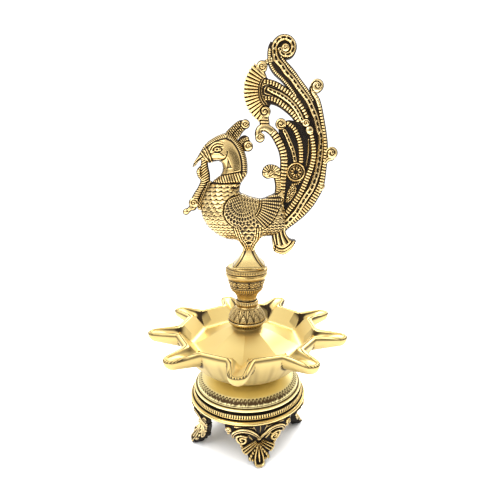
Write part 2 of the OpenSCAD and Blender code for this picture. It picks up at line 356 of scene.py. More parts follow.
def plate(name, relief, front, back=None, sharp=45, **patina):
    """Turns a relief into a closed piece. front and back place (u, v, height) in space. Without a back
    the two faces mirror each other in y and meet along the outline."""
    nearest, farthest = 0.12, 0.88
    field = relief.inside
    is_in = field > 0
    count = int(is_in.sum())
    node = np.full(field.shape, -1)
    node[is_in] = np.arange(count)
    stain = relief.patina(**patina)
    cross_u = is_in[:-1] != is_in[1:]
    cross_v = is_in[:, :-1] != is_in[:, 1:]
    id_u = np.full(cross_u.shape, -1)
    id_u[cross_u] = count + np.arange(cross_u.sum())
    id_v = np.full(cross_v.shape, -1)
    id_v[cross_v] = count + int(cross_u.sum()) + np.arange(cross_v.sum())

    def on_edge(first, second, mask):
        f0, f1 = field[first][mask], field[second][mask]
        t = np.clip(f0 / (f0 - f1), nearest, farthest)
        placed = [mixed(x[first][mask], x[second][mask], t) for x in (relief.uu, relief.vv)]
        inner = is_in[first][mask]
        kept = [np.where(inner, x[first][mask], x[second][mask]) for x in (relief.height, stain)]
        return np.stack(placed + kept)

    body = np.stack([x[is_in] for x in (relief.uu, relief.vv, relief.height, stain)])
    rows, cols = np.s_[:-1, :], np.s_[1:, :]
    left, right = np.s_[:, :-1], np.s_[:, 1:]
    u, v, h, dark = np.hstack([body, on_edge(rows, cols, cross_u), on_edge(left, right, cross_v)])

    slots = np.stack([node[:-1, :-1], id_u[:, :-1], node[1:, :-1], id_v[1:, :], node[1:, 1:], id_u[:, 1:],
        node[:-1, 1:], id_v[:-1, :]], -1).reshape(-1, 8)
    filled = (slots >= 0).sum(1)
    faces, walls = [], []
    for k in range(3, 7):
        group = slots[filled == k]
        group = group[group >= 0].reshape(-1, k)
        faces.append(group)
        ahead = np.roll(group, -1, axis=1)
        both = (group >= count) & (ahead >= count)
        walls.append(np.stack([ahead[both], group[both]], 1))
    walls = np.vstack(walls)
    if back is None:
        first = front(u, v, h)
        first[count:, 1] = 0
        second = first[:count] * [1, -1, 1]
        other = np.where(np.arange(len(u)) < count, np.arange(len(u)) + len(u), np.arange(len(u)))
        points, shade = np.vstack([first, second]), np.concatenate([dark, dark[:count]])
        sides = []
    else:
        points = np.vstack([front(u, v, h), back(u, v, h)])
        shade = np.concatenate([dark, dark])
        other = np.arange(len(u)) + len(u)
        sides = [np.hstack([walls, other[walls[:, ::-1]]])]
    return mesh(name, points, faces + [other[f[:, ::-1]] for f in faces] + sides, shade, sharp)


def upright(half):
    """Places a relief in the bird's plane, standing half a thickness off it, on both sides."""
    def front(u, v, h):
        return np.stack([u, -(half + h), v], 1)

    def back(u, v, h):
        return np.stack([u, half + h, v], 1)
    return front, back


def sampled(relief, values, u, v):
    """A grid's values read between its points."""
    a = np.clip((u - relief.u[0]) / relief.cell, 0, len(relief.u) - 1.001)
    b = np.clip((v - relief.v[0]) / relief.cell, 0, len(relief.v) - 1.001)
    i, j = a.astype(int), b.astype(int)
    s, t = a - i, b - j
    low, high = (mixed(values[i, k], values[i + 1, k], s) for k in (j, j + 1))
    return mixed(low, high, t)


def blown_up(relief, fatness):
    """A soft round thickness over the whole outline, as if it were a skin with air behind it."""
    rounds, over = 500, 1.97
    mask = relief.inside > 0
    level = np.zeros(mask.shape)
    even_cells = np.add.outer(np.arange(mask.shape[0]), np.arange(mask.shape[1])) % 2 == 0
    push = 4 * relief.cell**2
    for _ in range(rounds):
        for turn in (even_cells, ~even_cells):
            on = (mask & turn)[1:-1, 1:-1]
            mean = (level[:-2, 1:-1] + level[2:, 1:-1] + level[1:-1, :-2] + level[1:-1, 2:] + push) / 4
            centre = level[1:-1, 1:-1]
            centre[on] += over * (mean[on] - centre[on])
    return fatness * np.sqrt(np.maximum(level, 0))


def scales(a, b, width, pitch, thin=0.34):
    """Overlapping round scales whose free ends point down: their lift, and a thin line under each end."""
    radius = 0.62 * width
    lift, line = np.zeros(np.shape(a)), np.zeros(np.shape(a))
    taken = np.zeros(np.shape(a), bool)
    base = np.floor(b / pitch)
    for up in (2, 1, 0):
        row = base + up
        shift = (row % 2) * width / 2
        centre = np.round((a - shift) / width) * width + shift
        d = np.hypot(a - centre, (b - row * pitch - 0.2 * pitch) * 0.9) / radius
        on = (d < 1) & ~taken
        lift[on] = d[on] ** 1.6
        near = peak((d - 1) * radius, thin)
        line = np.where(taken | on, line, np.maximum(line, near))
        taken |= on
    return lift, line


def scale_rows(a, b, width, pitch):
    """The same scales as one height, with their roots low."""
    lift, line = scales(a, b, width, pitch)
    return np.clip(lift - 0.6 * line, 0, 1)


# ---- materials ----

def adder(tree):
    """Two functions for a node tree: add makes a shader node and fills its sockets, i0 being the first and
    so on, and maths makes a Math node and gives its result."""
    def add(kind, **sockets):
        node = tree.nodes.new("ShaderNode" + kind)
        for key, value in sockets.items():
            target = node.inputs[int(key[1:])] if key[0] == "i" and key[1:].isdigit() else node.inputs[key]
            if isinstance(value, bpy.types.NodeSocket):
                tree.links.new(value, target)
            else:
                target.default_value = value
        return node

    def maths(operation, a, b, clamp=False):
        node = add("Math", i0=a, i1=b)
        node.operation = operation
        node.use_clamp = clamp
        return node.outputs[0]
    return add, maths


def brass(name, bright, warm, dirt, reach, shine, grime, scratch, pits=0.0):
    """Cast brass. bright and warm are the metal's two tones, dirt is its patina, reach is how far the
    patina spreads out of the low places, shine and grime are the roughness of metal and of patina."""
    material = bpy.data.materials.new(name)
    material.use_nodes = True
    tree = material.node_tree
    shader = tree.nodes["Principled BSDF"]
    add, maths = adder(tree)

    def mix(factor, a, b):
        node = add("Mix", i0=factor, i6=a, i7=b)
        node.data_type = "RGBA"
        return node.outputs[2]

    place = add("TexCoord").outputs["Object"]
    cloud = add("TexNoise", Vector=place, Scale=55.0, Detail=5.0, Roughness=0.62).outputs["Fac"]
    grain = add("TexNoise", Vector=place, Scale=900.0, Detail=3.0, Roughness=0.6).outputs["Fac"]
    wide = add("TexNoise", Vector=place, Scale=16.0, Detail=2.0).outputs["Fac"]
    painted = add("Attribute").outputs["Fac"]
    painted.node.attribute_name = "patina"

    spread = maths("MULTIPLY", maths("SUBTRACT", cloud, 0.5), reach * 0.9)
    speckle = maths("MULTIPLY", maths("SUBTRACT", grain, 0.5), reach * 0.5)
    patina = maths("ADD", maths("MULTIPLY", painted, 1.6), maths("ADD", spread, speckle))
    patina = maths("ADD", patina, reach * 0.12, clamp=True)
    tone = mix(add("MapRange", Value=wide, i1=0.35, i2=0.65).outputs[0], bright + (1,), warm + (1,))
    tree.links.new(mix(patina, tone, dirt + (1,)), shader.inputs["Base Color"])

    stretched = add("Mapping", Vector=place, Rotation=(0.6, 0.9, 0.3), Scale=(70.0, 900.0, 700.0))
    hair = add("TexNoise", Vector=stretched.outputs[0], Scale=1.0, Detail=2.0).outputs["Fac"]
    rubbed = maths("MULTIPLY", maths("SUBTRACT", hair, 0.5), scratch * 0.35)
    rough = maths("ADD", maths("MULTIPLY", patina, grime - shine), shine)
    rough = maths("ADD", rough, maths("MULTIPLY", maths("SUBTRACT", cloud, 0.5), scratch * 0.5))
    tree.links.new(maths("ADD", rough, rubbed, clamp=True), shader.inputs["Roughness"])
    metal = maths("SUBTRACT", 1.0, maths("MULTIPLY", patina, 0.55), clamp=True)
    tree.links.new(metal, shader.inputs["Metallic"])

    height = maths("ADD", maths("MULTIPLY", hair, scratch * 0.3), maths("MULTIPLY", grain, 0.25 + pits))
    height = maths("ADD", height, maths("MULTIPLY", cloud, 1.2 * pits + 0.2))
    bump = add("Bump", Height=height, Distance=0.12 * MM, Strength=0.35 + pits)
    tree.links.new(bump.outputs[0], shader.inputs["Normal"])
    return material


POLISHED = brass("polished_brass", (0.98, 0.86, 0.47), (0.96, 0.83, 0.43), (0.07, 0.04, 0.012), reach=0.05,
    shine=0.44, grime=0.55, scratch=0.08)
DULL = brass("dull_brass", (0.90, 0.73, 0.37), (0.72, 0.53, 0.22), (0.03, 0.017, 0.006), reach=0.30,
    shine=0.22, grime=0.55, scratch=0.2)
SATIN = brass("satin_brass", (0.83, 0.65, 0.28), (0.80, 0.61, 0.25), (0.030, 0.017, 0.005), reach=0.04,
    shine=0.40, grime=0.60, scratch=0.05)
BIRD_BRASS = brass("bird_brass", (0.88, 0.69, 0.37), (0.66, 0.48, 0.21), (0.020, 0.011, 0.004), reach=0.42,
    shine=0.17, grime=0.55, scratch=0.25, pits=0.2)
ANTIQUE = brass("antique_brass", (0.83, 0.63, 0.31), (0.57, 0.40, 0.17), (0.012, 0.007, 0.003), reach=0.40,
    shine=0.25, grime=0.62, scratch=0.30, pits=0.3)
AGED = brass("aged_brass", (0.74, 0.57, 0.29), (0.53, 0.37, 0.14), (0.016, 0.009, 0.004), reach=0.46,
    shine=0.24, grime=0.60, scratch=0.25, pits=0.3)
FOOT_BRASS = brass("foot_brass", (0.83, 0.65, 0.35), (0.61, 0.46, 0.21), (0.010, 0.006, 0.003), reach=0.30,
    shine=0.24, grime=0.62, scratch=0.25, pits=0.2)
RING_BRASS = brass("ring_brass", (0.86, 0.66, 0.30), (0.72, 0.52, 0.21), (0.012, 0.007, 0.003), reach=0.16,
    shine=0.22, grime=0.62, scratch=0.25, pits=0.1)
STEEL = brass("plain_steel", (0.56, 0.55, 0.53), (0.48, 0.47, 0.46), (0.10, 0.07, 0.05), reach=0.25,
    shine=0.30, grime=0.65, scratch=0.5)


def finish_piece(piece, body, material, slot, node):
    """Gives a piece its material and its body, and hides the CAD node that it stands for. slot is not used.
    """
    piece.data.materials.append(material)
    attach(piece, body)
    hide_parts(node)


# ---- the bird ----

# The bird's outline in five lengths: from its beak over its head, down its back and rump, and up again
HEAD = [(-41, 231.3), (-39.4, 235.4), (-36.8, 239), (-34.3, 243.2), (-31.3, 247.2), (-28.2, 250.4),
    (-24.6, 252.8), (-19.9, 255.2), (-15, 256.6), (-10.4, 255.4), (-6, 251.6), (-2.6, 247), (-0.2, 241.6),
    (1.2, 236), (1.5, 230), (0.8, 225.6), (-2, 221.6), (-4.3, 217), (-4.7, 213), (-2.7, 210.7)]
BACK = [(-2.7, 210.7), (2.3, 208.8), (8.7, 207.2), (14.4, 207.4), (19.4, 209.6), (24, 212), (28.2, 214.2)]
RUMP = [(28.2, 214.2), (29.6, 207), (30.4, 199), (31.5, 191), (31, 184.5), (27.5, 180), (21.6, 178),
    (15.7, 177.6), (12, 176.4), (9.4, 174), (7.6, 170), (6.9, 164.4)]
BREAST = [(-2.7, 164.4), (-3, 168), (-4.6, 172.2), (-8, 174.7), (-14.1, 175.4), (-18.6, 177),
    (-23.4, 179.8), (-27.2, 182.8), (-30.6, 186.4), (-33.1, 190.7), (-34.6, 195), (-35, 199), (-34.4, 204),
    (-32.8, 209), (-30, 214), (-27, 218.4), (-24.4, 221.6), (-20.8, 224.4), (-18.2, 227.4), (-17.5, 231),
    (-18.2, 234.6), (-20.6, 236)]
CHIN = [(-20.6, 236), (-24, 235.6), (-27.4, 234.6), (-30.4, 236.2), (-33.2, 237), (-35.8, 235.8),
    (-38.4, 232.8), (-41, 231.3)]


def bird_outline():
    """The bird's closed outline, with a corner at its beak, breast, back and rump."""
    return joined(curve(HEAD)[:-1], curve(BACK)[:-1], curve(RUMP), curve(BREAST)[:-1], curve(CHIN)[:-1])


def draw_feathers(r, around):
    """Breast scales, wing and flight feathers. around is the distance over the surface, not across it."""
    lift, line = scales(around, r.vv, 4.8, 3.0, thin=0.44)
    small_lift, small_line = scales(around, r.vv + 1, 3.4, 2.2, thin=0.3)
    belly = ramp(193 - r.vv, 0, 5)
    r.height += mixed(0.6 * lift - 0.55 * line, 0.5 * small_lift - 0.5 * small_line, belly)
    r.stain += mixed(line - 0.16, 0.7 * small_line + 0.2, belly)

    wing_edge = curve([(-5, 210.4), (-11.6, 208.6), (-15.2, 204.4), (-16.5, 199.2), (-16, 194.6),
        (-13.6, 190.8), (-9.6, 187.4), (-3, 185.4), (5, 184), (12, 184.6), (18, 188.4), (24, 197),
        (30.4, 215), (14, 210), (4, 211)])
    wing = r.depth_in(wing_edge)
    on_wing = ramp(wing, -0.2, 0.5)
    x, z = r.uu, r.vv
    shoulder = 0.45 * notch((0.86 * x + 0.5 * z) / 1.4, 1) + 0.3 * notch((z - 0.3 * x) / 2.2, 1)
    centre = (-2.0, 205.0)
    angle = np.degrees(np.arctan2(z - centre[1], x - centre[0]))
    away = np.hypot(x - centre[0], z - centre[1])
    lines = notch((z + 0.55 * x) / 1.05, 1)
    small = 0.45 * (1 - lines) + 0.5 * scale_rows(z - 0.4 * x, x + 0.25 * z, 2.6, 2.0)
    flight = 0.8 * (1 - notch(angle / 5.6, 1.2)) - 0.3 * notch(away / 1.4, 1)
    under = 0.7 * scale_rows(-angle * 0.35, 60 - away, 3.4, 2.8)
    middle = ramp(x + 0.15 * (z - 200), -5, -2)
    far = ramp(away, 13.6, 14.6)
    low = ramp(-angle, 48, 56) * ramp(away, 5, 9)
    cover = mixed(mixed(mixed(shoulder, small, middle), flight, far), under, low)
    r.height = mixed(r.height, 1 + cover, on_wing)
    for radius in (12.6, 14.3):
        r.groove(arc(centre, radius, -46, 22, 30), 0.45, 1.1, 0.95)
    r.groove(wing_edge, 0.55, 1.0, 1.0)
    r.stain = mixed(r.stain, 0.24 + 0.2 * (1 - middle) + 0.32 * far * ramp(angle, -60, -40), on_wing)
    r.stain += 0.22 * ramp(x, 12, 17) * ramp(206 - z, 0, 6) * (1 - on_wing)
    tip = ramp(r.depth_in(np.array([(30.4, 215), (24.4, 209.4), (29.6, 206)])), -0.1, 0.4)
    r.redraw(tip, 1.9, -0.2)


def draw_leg_panel(r):
    """The pointed panel down the front of the shank, with its eye and nested lines."""
    tip = (2, 163)
    panel = r.depth_in([(-9.5, 187), (-6.6, 178), (-3.6, 171.4), tip, (7.8, 171.4), (10.4, 178),
        (11.4, 186), (1, 190)])
    on = ramp(panel, -0.2, 0.4)
    rows = 0.6 * scale_rows(r.uu - 2, r.vv - 0.6, 4.6, 2.7)
    r.height = mixed(r.height, 0.9 + rows * ramp(r.vv, 174.5, 176), on)
    for inset, lift in ((0.3, 0.55), (2.1, 0.45), (3.8, 0.4)):
        k = inset * 1.15
        line = curve([(-9.2 + inset, 187), (-6.2 + inset, 178), (-3.2 + inset, 171.4 + 0.4 * k),
            (2, tip[1] + k), (7.4 - inset, 171.4 + 0.4 * k), (10 - inset, 178), (11 - inset, 186)])
        r.ridge(line, 0.42, lift)
        r.groove(shifted(line, -0.85), 0.34, 0.7, 0.8)
    eye = np.hypot((r.uu - 2) / 2.1, (r.vv - 174.2) / 1.3)
    r.height += 0.5 * peak(eye - 1.35, 0.3) - 1.1 * ramp(1.1 - eye, 0, 0.5)
    r.darken(ramp(1.15 - eye, 0, 0.3))


def draw_neck(r):
    """The smooth neck, its collar, and the ribbed mane down the back of it."""
    x, z = r.uu, r.vv
    collar_top = 225.3 + 0.17 * (x + 17.7)
    plain = ramp(z - collar_top, -0.3, 0.3) * ramp(x, -21, -18)
    collar = ramp(z, 219.2, 219.8) * ramp(collar_top - z, -0.3, 0.3)
    bars = notch((x + 0.25 * z) / 1.9, 2)
    r.height = mixed(r.height, 1.1 - 0.8 * bars, collar)
    r.stain = mixed(r.stain * (1 - plain), 0.1 + 0.75 * bars, collar) - 0.16 * plain
    r.height *= 1 - plain
    r.groove([(-26, 219.9), (-18, 219.4), (-10, 219.6), (-2, 219.2)], 0.7, 1.0, 1.0)
    r.groove([(-20, 224.8), (-12, 226.3), (-4, 227.6), (2, 228.6)], 0.5, 1.0, 1.0)
    facet = r.depth_in(np.array([(-13.6, 239.5), (-15, 229.6), (-9.4, 230.4), (-11.6, 236)]))
    r.height -= 0.5 * ramp(facet, -0.2, 1.2)
    mane = curve([(-14, 254.6), (-8.4, 252), (-4.2, 246.8), (-1.4, 240.4), (-0.3, 234), (-0.4, 226.6)])
    r.band(mane, [3.4, 4.8, 4.4, 4.0, 3.6], 1.0, ribs(1.4, 0.5), stain=0.62)
    r.groove(shifted(mane, -2.4), 0.45, 0.8, 0.9)
    # The small medallion where the neck meets the back
    ring = np.hypot((x + 8.4) / 3.3, (z - 215.8) / 2.7)
    r.height += 0.6 * peak(ring - 1, 0.22) - 0.5 * ramp(0.5 - ring, 0, 0.2)
    r.darken(0.8 * ramp(0.42 - ring, 0, 0.2))


def draw_head(r):
    """Eye, brow, cheek, crown band, bridle and beak."""
    x, z = r.uu, r.vv
    face = ramp(z, 235.2, 236) * ramp(-x, 12.5, 15)
    r.redraw(face, 0, -0.16)
    crown = curve([(-31.6, 246), (-28.2, 248.9), (-24.2, 251.2), (-19.6, 253.2), (-14.6, 254.2)])
    r.band(crown, [2.6, 3.4, 3.8, 3.6], 0.8, ribs(1.5, 0.5, 0.6), stain=0.34)
    r.groove(shifted(crown, -2.0), 0.35, 0.6, 0.4)
    for offset, inner_end, lift in ((0.0, -16.4, 0.75), (-1.9, -16.884, 0.6)):
        brow = curve([(-27 - offset * 0.9, 244.4 + offset * 0.4),
            (-24.6 - offset * 0.4, 247.6 + offset * 0.9), (-21, 249.3 + offset),
            (inner_end, 248.6 + offset * 0.8)])
        r.ridge(brow, 0.42, lift)
        r.groove(shifted(brow, -0.85), 0.3, 0.55, 0.45)
    eye = np.hypot((x + 20.6) / 2.9, (z - 244.2) / 1.5)
    r.height += 0.7 * np.sqrt(np.clip(1 - eye**2, 0, 1)) - 0.5 * peak(eye - 1.12, 0.2)
    pupil = np.hypot(x + 20.8, z - 244.3)
    r.height -= 0.4 * ramp(1.0 - pupil, 0, 0.5)
    r.darken(0.75 * ramp(0.9 - pupil, 0, 0.4) + 0.5 * peak(eye - 1.15, 0.16))
    cheek = np.hypot((x + 20.2) / 6.2, (z - 239.4) / 2.9)
    r.height += 0.9 * np.clip(1 - cheek**2, 0, 1)
    r.groove([(-26, 241.4), (-22.6, 242), (-18.6, 241.6), (-15.8, 240)], 0.35, 0.5, 0.4)
    r.groove([(-13, 243), (-13.8, 240.4), (-15.4, 237.6), (-18.4, 236.2)], 0.35, 0.6, 0.5)
    for a, b in (((-34.2, 243.4), (-27.4, 233.6)), ((-30.4, 247), (-25.6, 235.4))):
        line = curve([a, ((a[0] + b[0]) / 2 + 0.4, (a[1] + b[1]) / 2 + 0.3), b])
        r.ridge(line, 0.5, 0.8)
        r.groove(shifted(line, 1.0), 0.38, 0.8, 0.8)
        r.groove(shifted(line, -1.0), 0.38, 0.6, 0.6)
    r.groove([(-40.4, 232.8), (-37.6, 235.6), (-34.4, 237.8), (-32.4, 239)], 0.4, 0.8, 0.9)
    r.ridge([(-39.4, 235), (-36.6, 237.8), (-33.6, 240)], 0.5, 0.35)


def make_bird():
    """The bird's body, blown up from its outline, with its chasing lifted off that round surface."""
    steepest = 6
    r = Relief((-43, 33), (163, 259), 0.28)
    r.inside = r.depth_in(bird_outline())
    r.height[:] = 0
    thickness = blown_up(r, 0.62)
    slope = np.gradient(thickness, r.cell, axis=0)
    across = np.sqrt(1 + np.clip(slope, -steepest, steepest) ** 2)
    around = np.cumsum(across * (r.inside > 0), axis=0) * r.cell
    draw_feathers(r, around)
    draw_neck(r)
    draw_leg_panel(r)
    draw_head(r)
    r.inside = np.minimum(r.inside, r.depth_in(bird_outline()))
    fade = ramp(r.inside, 0, 1.2)
    r.height *= 0.35 + 0.65 * fade
    # Painted shade along the body's outline, where its round surface turns away and meets the pieces round
    # it
    r.stain += 0.6 * peak(r.inside, 1.1) * (r.inside > 0)
    lean = np.gradient(r.blurred(0.6, thickness), r.cell)

    def front(u, v, h):
        gx, gz = (np.clip(sampled(r, g, u, v), -3, 3) for g in lean)
        lift = h / np.sqrt(1 + gx**2 + gz**2)
        return np.stack([u - lift * gx, -(sampled(r, thickness, u, v) + lift), v - lift * gz], 1)
    bird = plate("peacock_body_cast", r, front, sharp=0, gain=3.4, bias=0.12)
    finish_piece(bird, "peacock", BIRD_BRASS, "bird_brass", "peacock_body")


def panel(name, relief, half, node, material=BIRD_BRASS, slot="bird_brass"):
    """A flat cast piece in the bird's plane, with the same relief on both faces, half off the plane."""
    front, back = upright(half)
    finish_piece(plate(name, relief, front, back), "peacock", material, slot, node)


# ---- crest and garland ----

def make_crest():
    """A textured upright block with a ball at its tip, and a smaller ball behind it."""
    r = Relief((-20, 8), (240, 270), 0.25)
    r.fill([(-6.3, 250.5), (-3, 254), (0.8, 254.6), (3.2, 251.4), (4.8, 248.4), (4.2, 244.4), (1.2, 243),
        (-2, 244), (-5, 246.6)], 0.7, 0.45)
    r.band([(-5.4, 246.8), (-2.2, 250.4), (1.2, 252.2)], [3.0, 3.6, 2.8], 1.5, ribs(1.3, 0.7), stain=0.2)
    block = [(-16.4, 251.4), (-14.4, 257), (-10.6, 260.7), (-6.1, 264.4), (-2.4, 265.6), (1, 264),
        (1.6, 260.6), (-1.4, 257.6), (-4, 254), (-6.8, 250.9), (-9.4, 247.8), (-12.7, 247.6)]
    r.fill(block, 1.9, 0.2, 1.2)
    inner = ramp(r.depth_in(block), 0.2, 1.0)
    a, b = r.uu * 0.77 + r.vv * 0.64, r.vv * 0.77 - r.uu * 0.64
    r.height -= inner * (0.7 * notch(a / 1.5, 1) + 0.5 * notch(b / 2.2 + 0.5 * np.floor(a / 1.5), 1) - 0.3)
    r.stain += inner * (0.34 + 0.3 * notch(a / 1.5, 0.8))
    r.groove([(-13.6, 249.6), (-10, 254.4), (-6, 258.8), (-1.4, 262)], 0.35, 0.6, 0.7)
    r.knob((0.3, 262.8), 3.3, 3.1, curl=-1)
    r.knob((2.2, 246.6), 3.7, 2.9, curl=1)
    panel("crest_cast", r, 1.6, "crest")


def make_garland():
    """The ribbed strand that hangs from the beak to the breast, with a cord beside it."""
    r = Relief((-52, -24), (193, 240), 0.25)
    strand = curve([(-31.4, 236.4), (-31.6, 231), (-31, 226), (-31.5, 220), (-34, 214.4), (-37, 210),
        (-39.8, 205.4), (-41.6, 201)])
    r.band(strand, [3.8, 5.2, 6.0, 6.4, 6.4, 6.4, 6.0, 4.8], 1.9, ribs(1.9, 0.9, 0.6), stain=0.6)
    cord_line = curve([(-27.5, 219.4), (-30.6, 214), (-33.4, 209), (-35.4, 204), (-36, 200.6)])
    r.band(cord_line, [2.6, 3.4, 3.6, 3.2], 2.3, ribs(1.9, 1.2, -0.9), stain=0.3)
    r.groove(shifted(cord_line, -2.2), 0.45, 0.8, 1.0)
    r.band([(-34.6, 231), (-36, 228.6), (-35.4, 225), (-33.4, 222)], [1.6, 2.6, 2.2, 1.6], 1.6,
        ribs(1.5, 0.6))
    r.knob((-35.8, 228.2), 1.5, 2.0)
    r.knob((-40.6, 204.4), 3.9, 2.2, curl=1)
    r.band([(-41, 203), (-43.4, 200), (-46, 198)], [3.6, 3.0, 2.6], 1.6)
    r.knob((-47, 197.4), 2.4, 2.1)
    panel("garland_cast", r, 0.9, "garland")


# ---- the tail ----

MAIN_LINE = [(27.1, 183.8), (31.4, 187.7), (36.4, 192.7), (40, 197), (43.6, 203.4), (47.1, 209.1),
    (50.4, 214.1), (52.9, 220.6), (55, 227.7), (56.4, 237.7), (57, 244.1), (57, 253.4), (55.3, 258.1),
    (53.9, 262.8), (52.5, 267.5), (50.3, 272.2), (48.1, 276.9), (45.6, 280.6), (42.5, 284.4), (38.8, 288.8),
    (35, 293.8), (30, 298.8), (26.9, 303.1), (23.4, 306.6), (21.9, 310.6), (21.6, 315.3)]


def make_main_plume():
    """The tall plume: a slotted band that rolls over at the top, on a dark layer behind it."""
    r = Relief((12, 62), (180, 326), 0.24)
    left = curve([(42, 274), (36.6, 283), (31.4, 289.4), (26.3, 294.9), (21, 299.6), (17.8, 303.6),
        (16.8, 309), (17, 315), (19, 319.4)])
    right = curve([(25, 315), (29.3, 307.7), (36.2, 300.3), (41.2, 293.9), (46.9, 286.8), (49.8, 281),
        (52.6, 273.4)])
    r.fill(joined(left, right), 0.4, 0.85)
    low = curve([(37.6, 282.4), (33, 288.2), (27.8, 293.8), (22.4, 298.6), (19, 303.8), (18.1, 309),
        (18.4, 314)])
    r.band(low, [1.6, 2.2, 2.4, 2.4, 2.2], 1.2, ribs(1.5, 0.5), stain=0.42, rim=0)
    high = curve([(50.4, 278.6), (45.8, 285.6), (40.2, 292.6), (35.2, 298.8), (29.6, 304.8), (26.6, 309)])
    r.band(high, [1.6, 2.2, 2.4, 2.2, 1.8], 1.1, ribs(1.5, 0.5), stain=0.42, rim=0)
    r.fill(arc((29.4, 314.6), 6.6, 0, 354, 60), 0.2, 0.95)
    eye = (29.6, 314.7)
    line = joined(curve(MAIN_LINE), scroll(eye, MAIN_LINE[-1], -0.95, 4.0))
    r.band(line, [4.6, 4.4, 4.2, 3.9, 3.7, 3.7, 3.8, 3.7, 3.0], 2.2, dashes(4.3, 1.3), rim=0.8)
    r.knob(eye, 2.8, 2.7)
    r.groove(scroll(eye, (31.7, 314.7), 1.2, 0.3), 0.3, 0.8, 0.6)
    r.band([(15.6, 305.6), (19, 307), (22.4, 307)], [3.0, 3.4, 3.0], 1.2, ribs(1.8, 0.5), rim=0)
    panel("main_plume_cast", r, 2.1, "tail_main_plume")


def make_outer_plume():
    """The long ribbed plume along the tail's outer edge, with a knob at its top and one at its side."""
    r = Relief((24, 72), (176, 304), 0.26)
    line = curve([(28, 180.6), (32.1, 185.4), (36.4, 189.1), (41.4, 193.4), (45.7, 197.7), (50, 202.7),
        (53.6, 208.4), (56.4, 213.4), (58.4, 219.1), (59.8, 229.1), (60.4, 237), (60.6, 246), (59.6, 254),
        (58.2, 261.4), (56.8, 268), (55.4, 274), (53.8, 279)])
    r.fill([(54, 205), (57.6, 214), (59, 229), (60, 246), (58.4, 258), (56, 268), (53, 277), (50.6, 283.4),
        (47.6, 282.6), (51, 274), (54.3, 265), (56.4, 254), (57, 244), (56, 230), (53, 216)], 0.1, 0.95)
    widths = [2.4, 4.2, 5.0, 5.0, 4.6, 3.6, 3.0, 2.8, 2.8, 2.8, 2.8]
    r.band(line, widths, 1.6, ribs(2.2, 0.9), rim=0.7)
    r.band([(55.2, 275), (53, 280.6), (50.4, 284.2), (49.6, 288)], [2.8, 3.0, 2.6], 1.7, ribs(2.1, 0.5))
    r.knob((53.2, 289.2), 4.8, 2.1)
    r.groove(scroll((53.2, 289.2), (50.4, 285.6), -1.25, 0.9), 0.38, 1.0, 0.8)
    r.fill([(56.6, 212), (59.4, 213.6), (61.2, 216.4), (59.8, 219.4), (57.4, 219.6)], 1.3)
    r.band([(60.6, 234), (62.6, 236.6), (66, 237.4)], [2.6, 3.0, 2.6], 1.4)
    r.knob((65.5, 241.3), 4.5, 2.2)
    r.groove(scroll((65.5, 241.3), (62.6, 238.6), -1.2, 0.9), 0.38, 1.0, 0.8)
    panel("outer_plume_cast", r, 1.5, "tail_outer_plume")


def make_ribbed_plume():
    """The shorter ribbed plume inside the outer one, with two knobs on its end."""
    r = Relief((16, 56), (180, 268), 0.28)
    line = curve([(20, 183), (24.3, 187.4), (30, 193.4), (35, 199.9), (40, 207), (43.6, 213.4),
        (46.4, 219.9), (48.9, 226.3), (50.7, 232), (51.8, 237), (52, 242), (51.4, 247.7), (50, 254.1),
        (48.6, 258)])
    r.band(line, [3.0, 3.8, 4.0, 4.0, 4.0, 3.9, 3.8, 3.6, 3.2], 1.7, ribs(2.2, 0.9), rim=0.8)
    r.knob((48.2, 258.2), 3.0, 1.9)
    r.knob((45.4, 263.2), 2.9, 2.1, curl=1)
    panel("ribbed_plume_cast", r, 1.8, "tail_ribbed_plume")


def make_inner_plume():
    """The ribbed plume nearest the neck, which bends over it and ends in a curled knob."""
    r = Relief((4, 34), (200, 266), 0.25)
    line = curve([(27.3, 204), (28.5, 213), (28.9, 222), (29.6, 230), (29.6, 237.4), (28.2, 244),
        (25.2, 250.4), (22, 255.4), (18, 259), (14, 260.4), (11, 259), (9.7, 256), (10.2, 253.4)])

    def fading(run, across, width):
        return ribs(2.5, 0.95)(run, across, width) * ramp(57 - run, 0, 4)
    r.band(line, [3.6, 4.2, 4.6, 5.0, 5.2, 5.2, 5.0, 4.6, 3.6], 1.7, fading)
    r.knob((11.2, 253), 3.6, 2.2, curl=1)
    r.groove([(12, 257.8), (14.6, 257.4), (17.2, 255.4), (19.4, 252.4)], 0.5, 0.8, 0.6)
    panel("inner_plume_cast", r, 1.5, "tail_inner_plume")


def make_tail_hook():
    """A ribbed stalk whose top curls over into a shell."""
    r = Relief((10, 32), (202, 236), 0.25)
    line = curve([(24, 206), (25.2, 211), (25.6, 217), (24.8, 222.4), (23.4, 226.4)])
    r.band(line, [4.0, 4.4, 4.4, 4.6, 4.6], 1.6, ribs(1.7, 0.6), stain=0.15)
    r.fill([(12.6, 227.6), (13.2, 224.6), (16.4, 222.4), (20.2, 223), (23, 222.6), (26, 224.6), (27.2, 228),
        (25.4, 231.2), (21.6, 233), (17, 233), (13.8, 230.8)], 1.7, 0.1, 1.4)
    x, z = r.uu - 19.6, r.vv - 226.4
    d, a = np.hypot(x, z), np.degrees(np.arctan2(z, x))
    shell = within(a, 8, 200, 3) * within(d, 1.8, 8) * (r.vv > 222) * notch(a / 19, 1.3)
    r.height -= 0.55 * shell
    r.stain += 0.45 * shell
    r.groove([(25.6, 224.6), (21.8, 226), (18.8, 224.4), (17.4, 226.2), (18.6, 228.2)], 0.42, 0.9, 0.7)
    r.knob((16.4, 225.6), 2.0, 2.3)
    panel("tail_hook_cast", r, 1.5, "tail_hook")


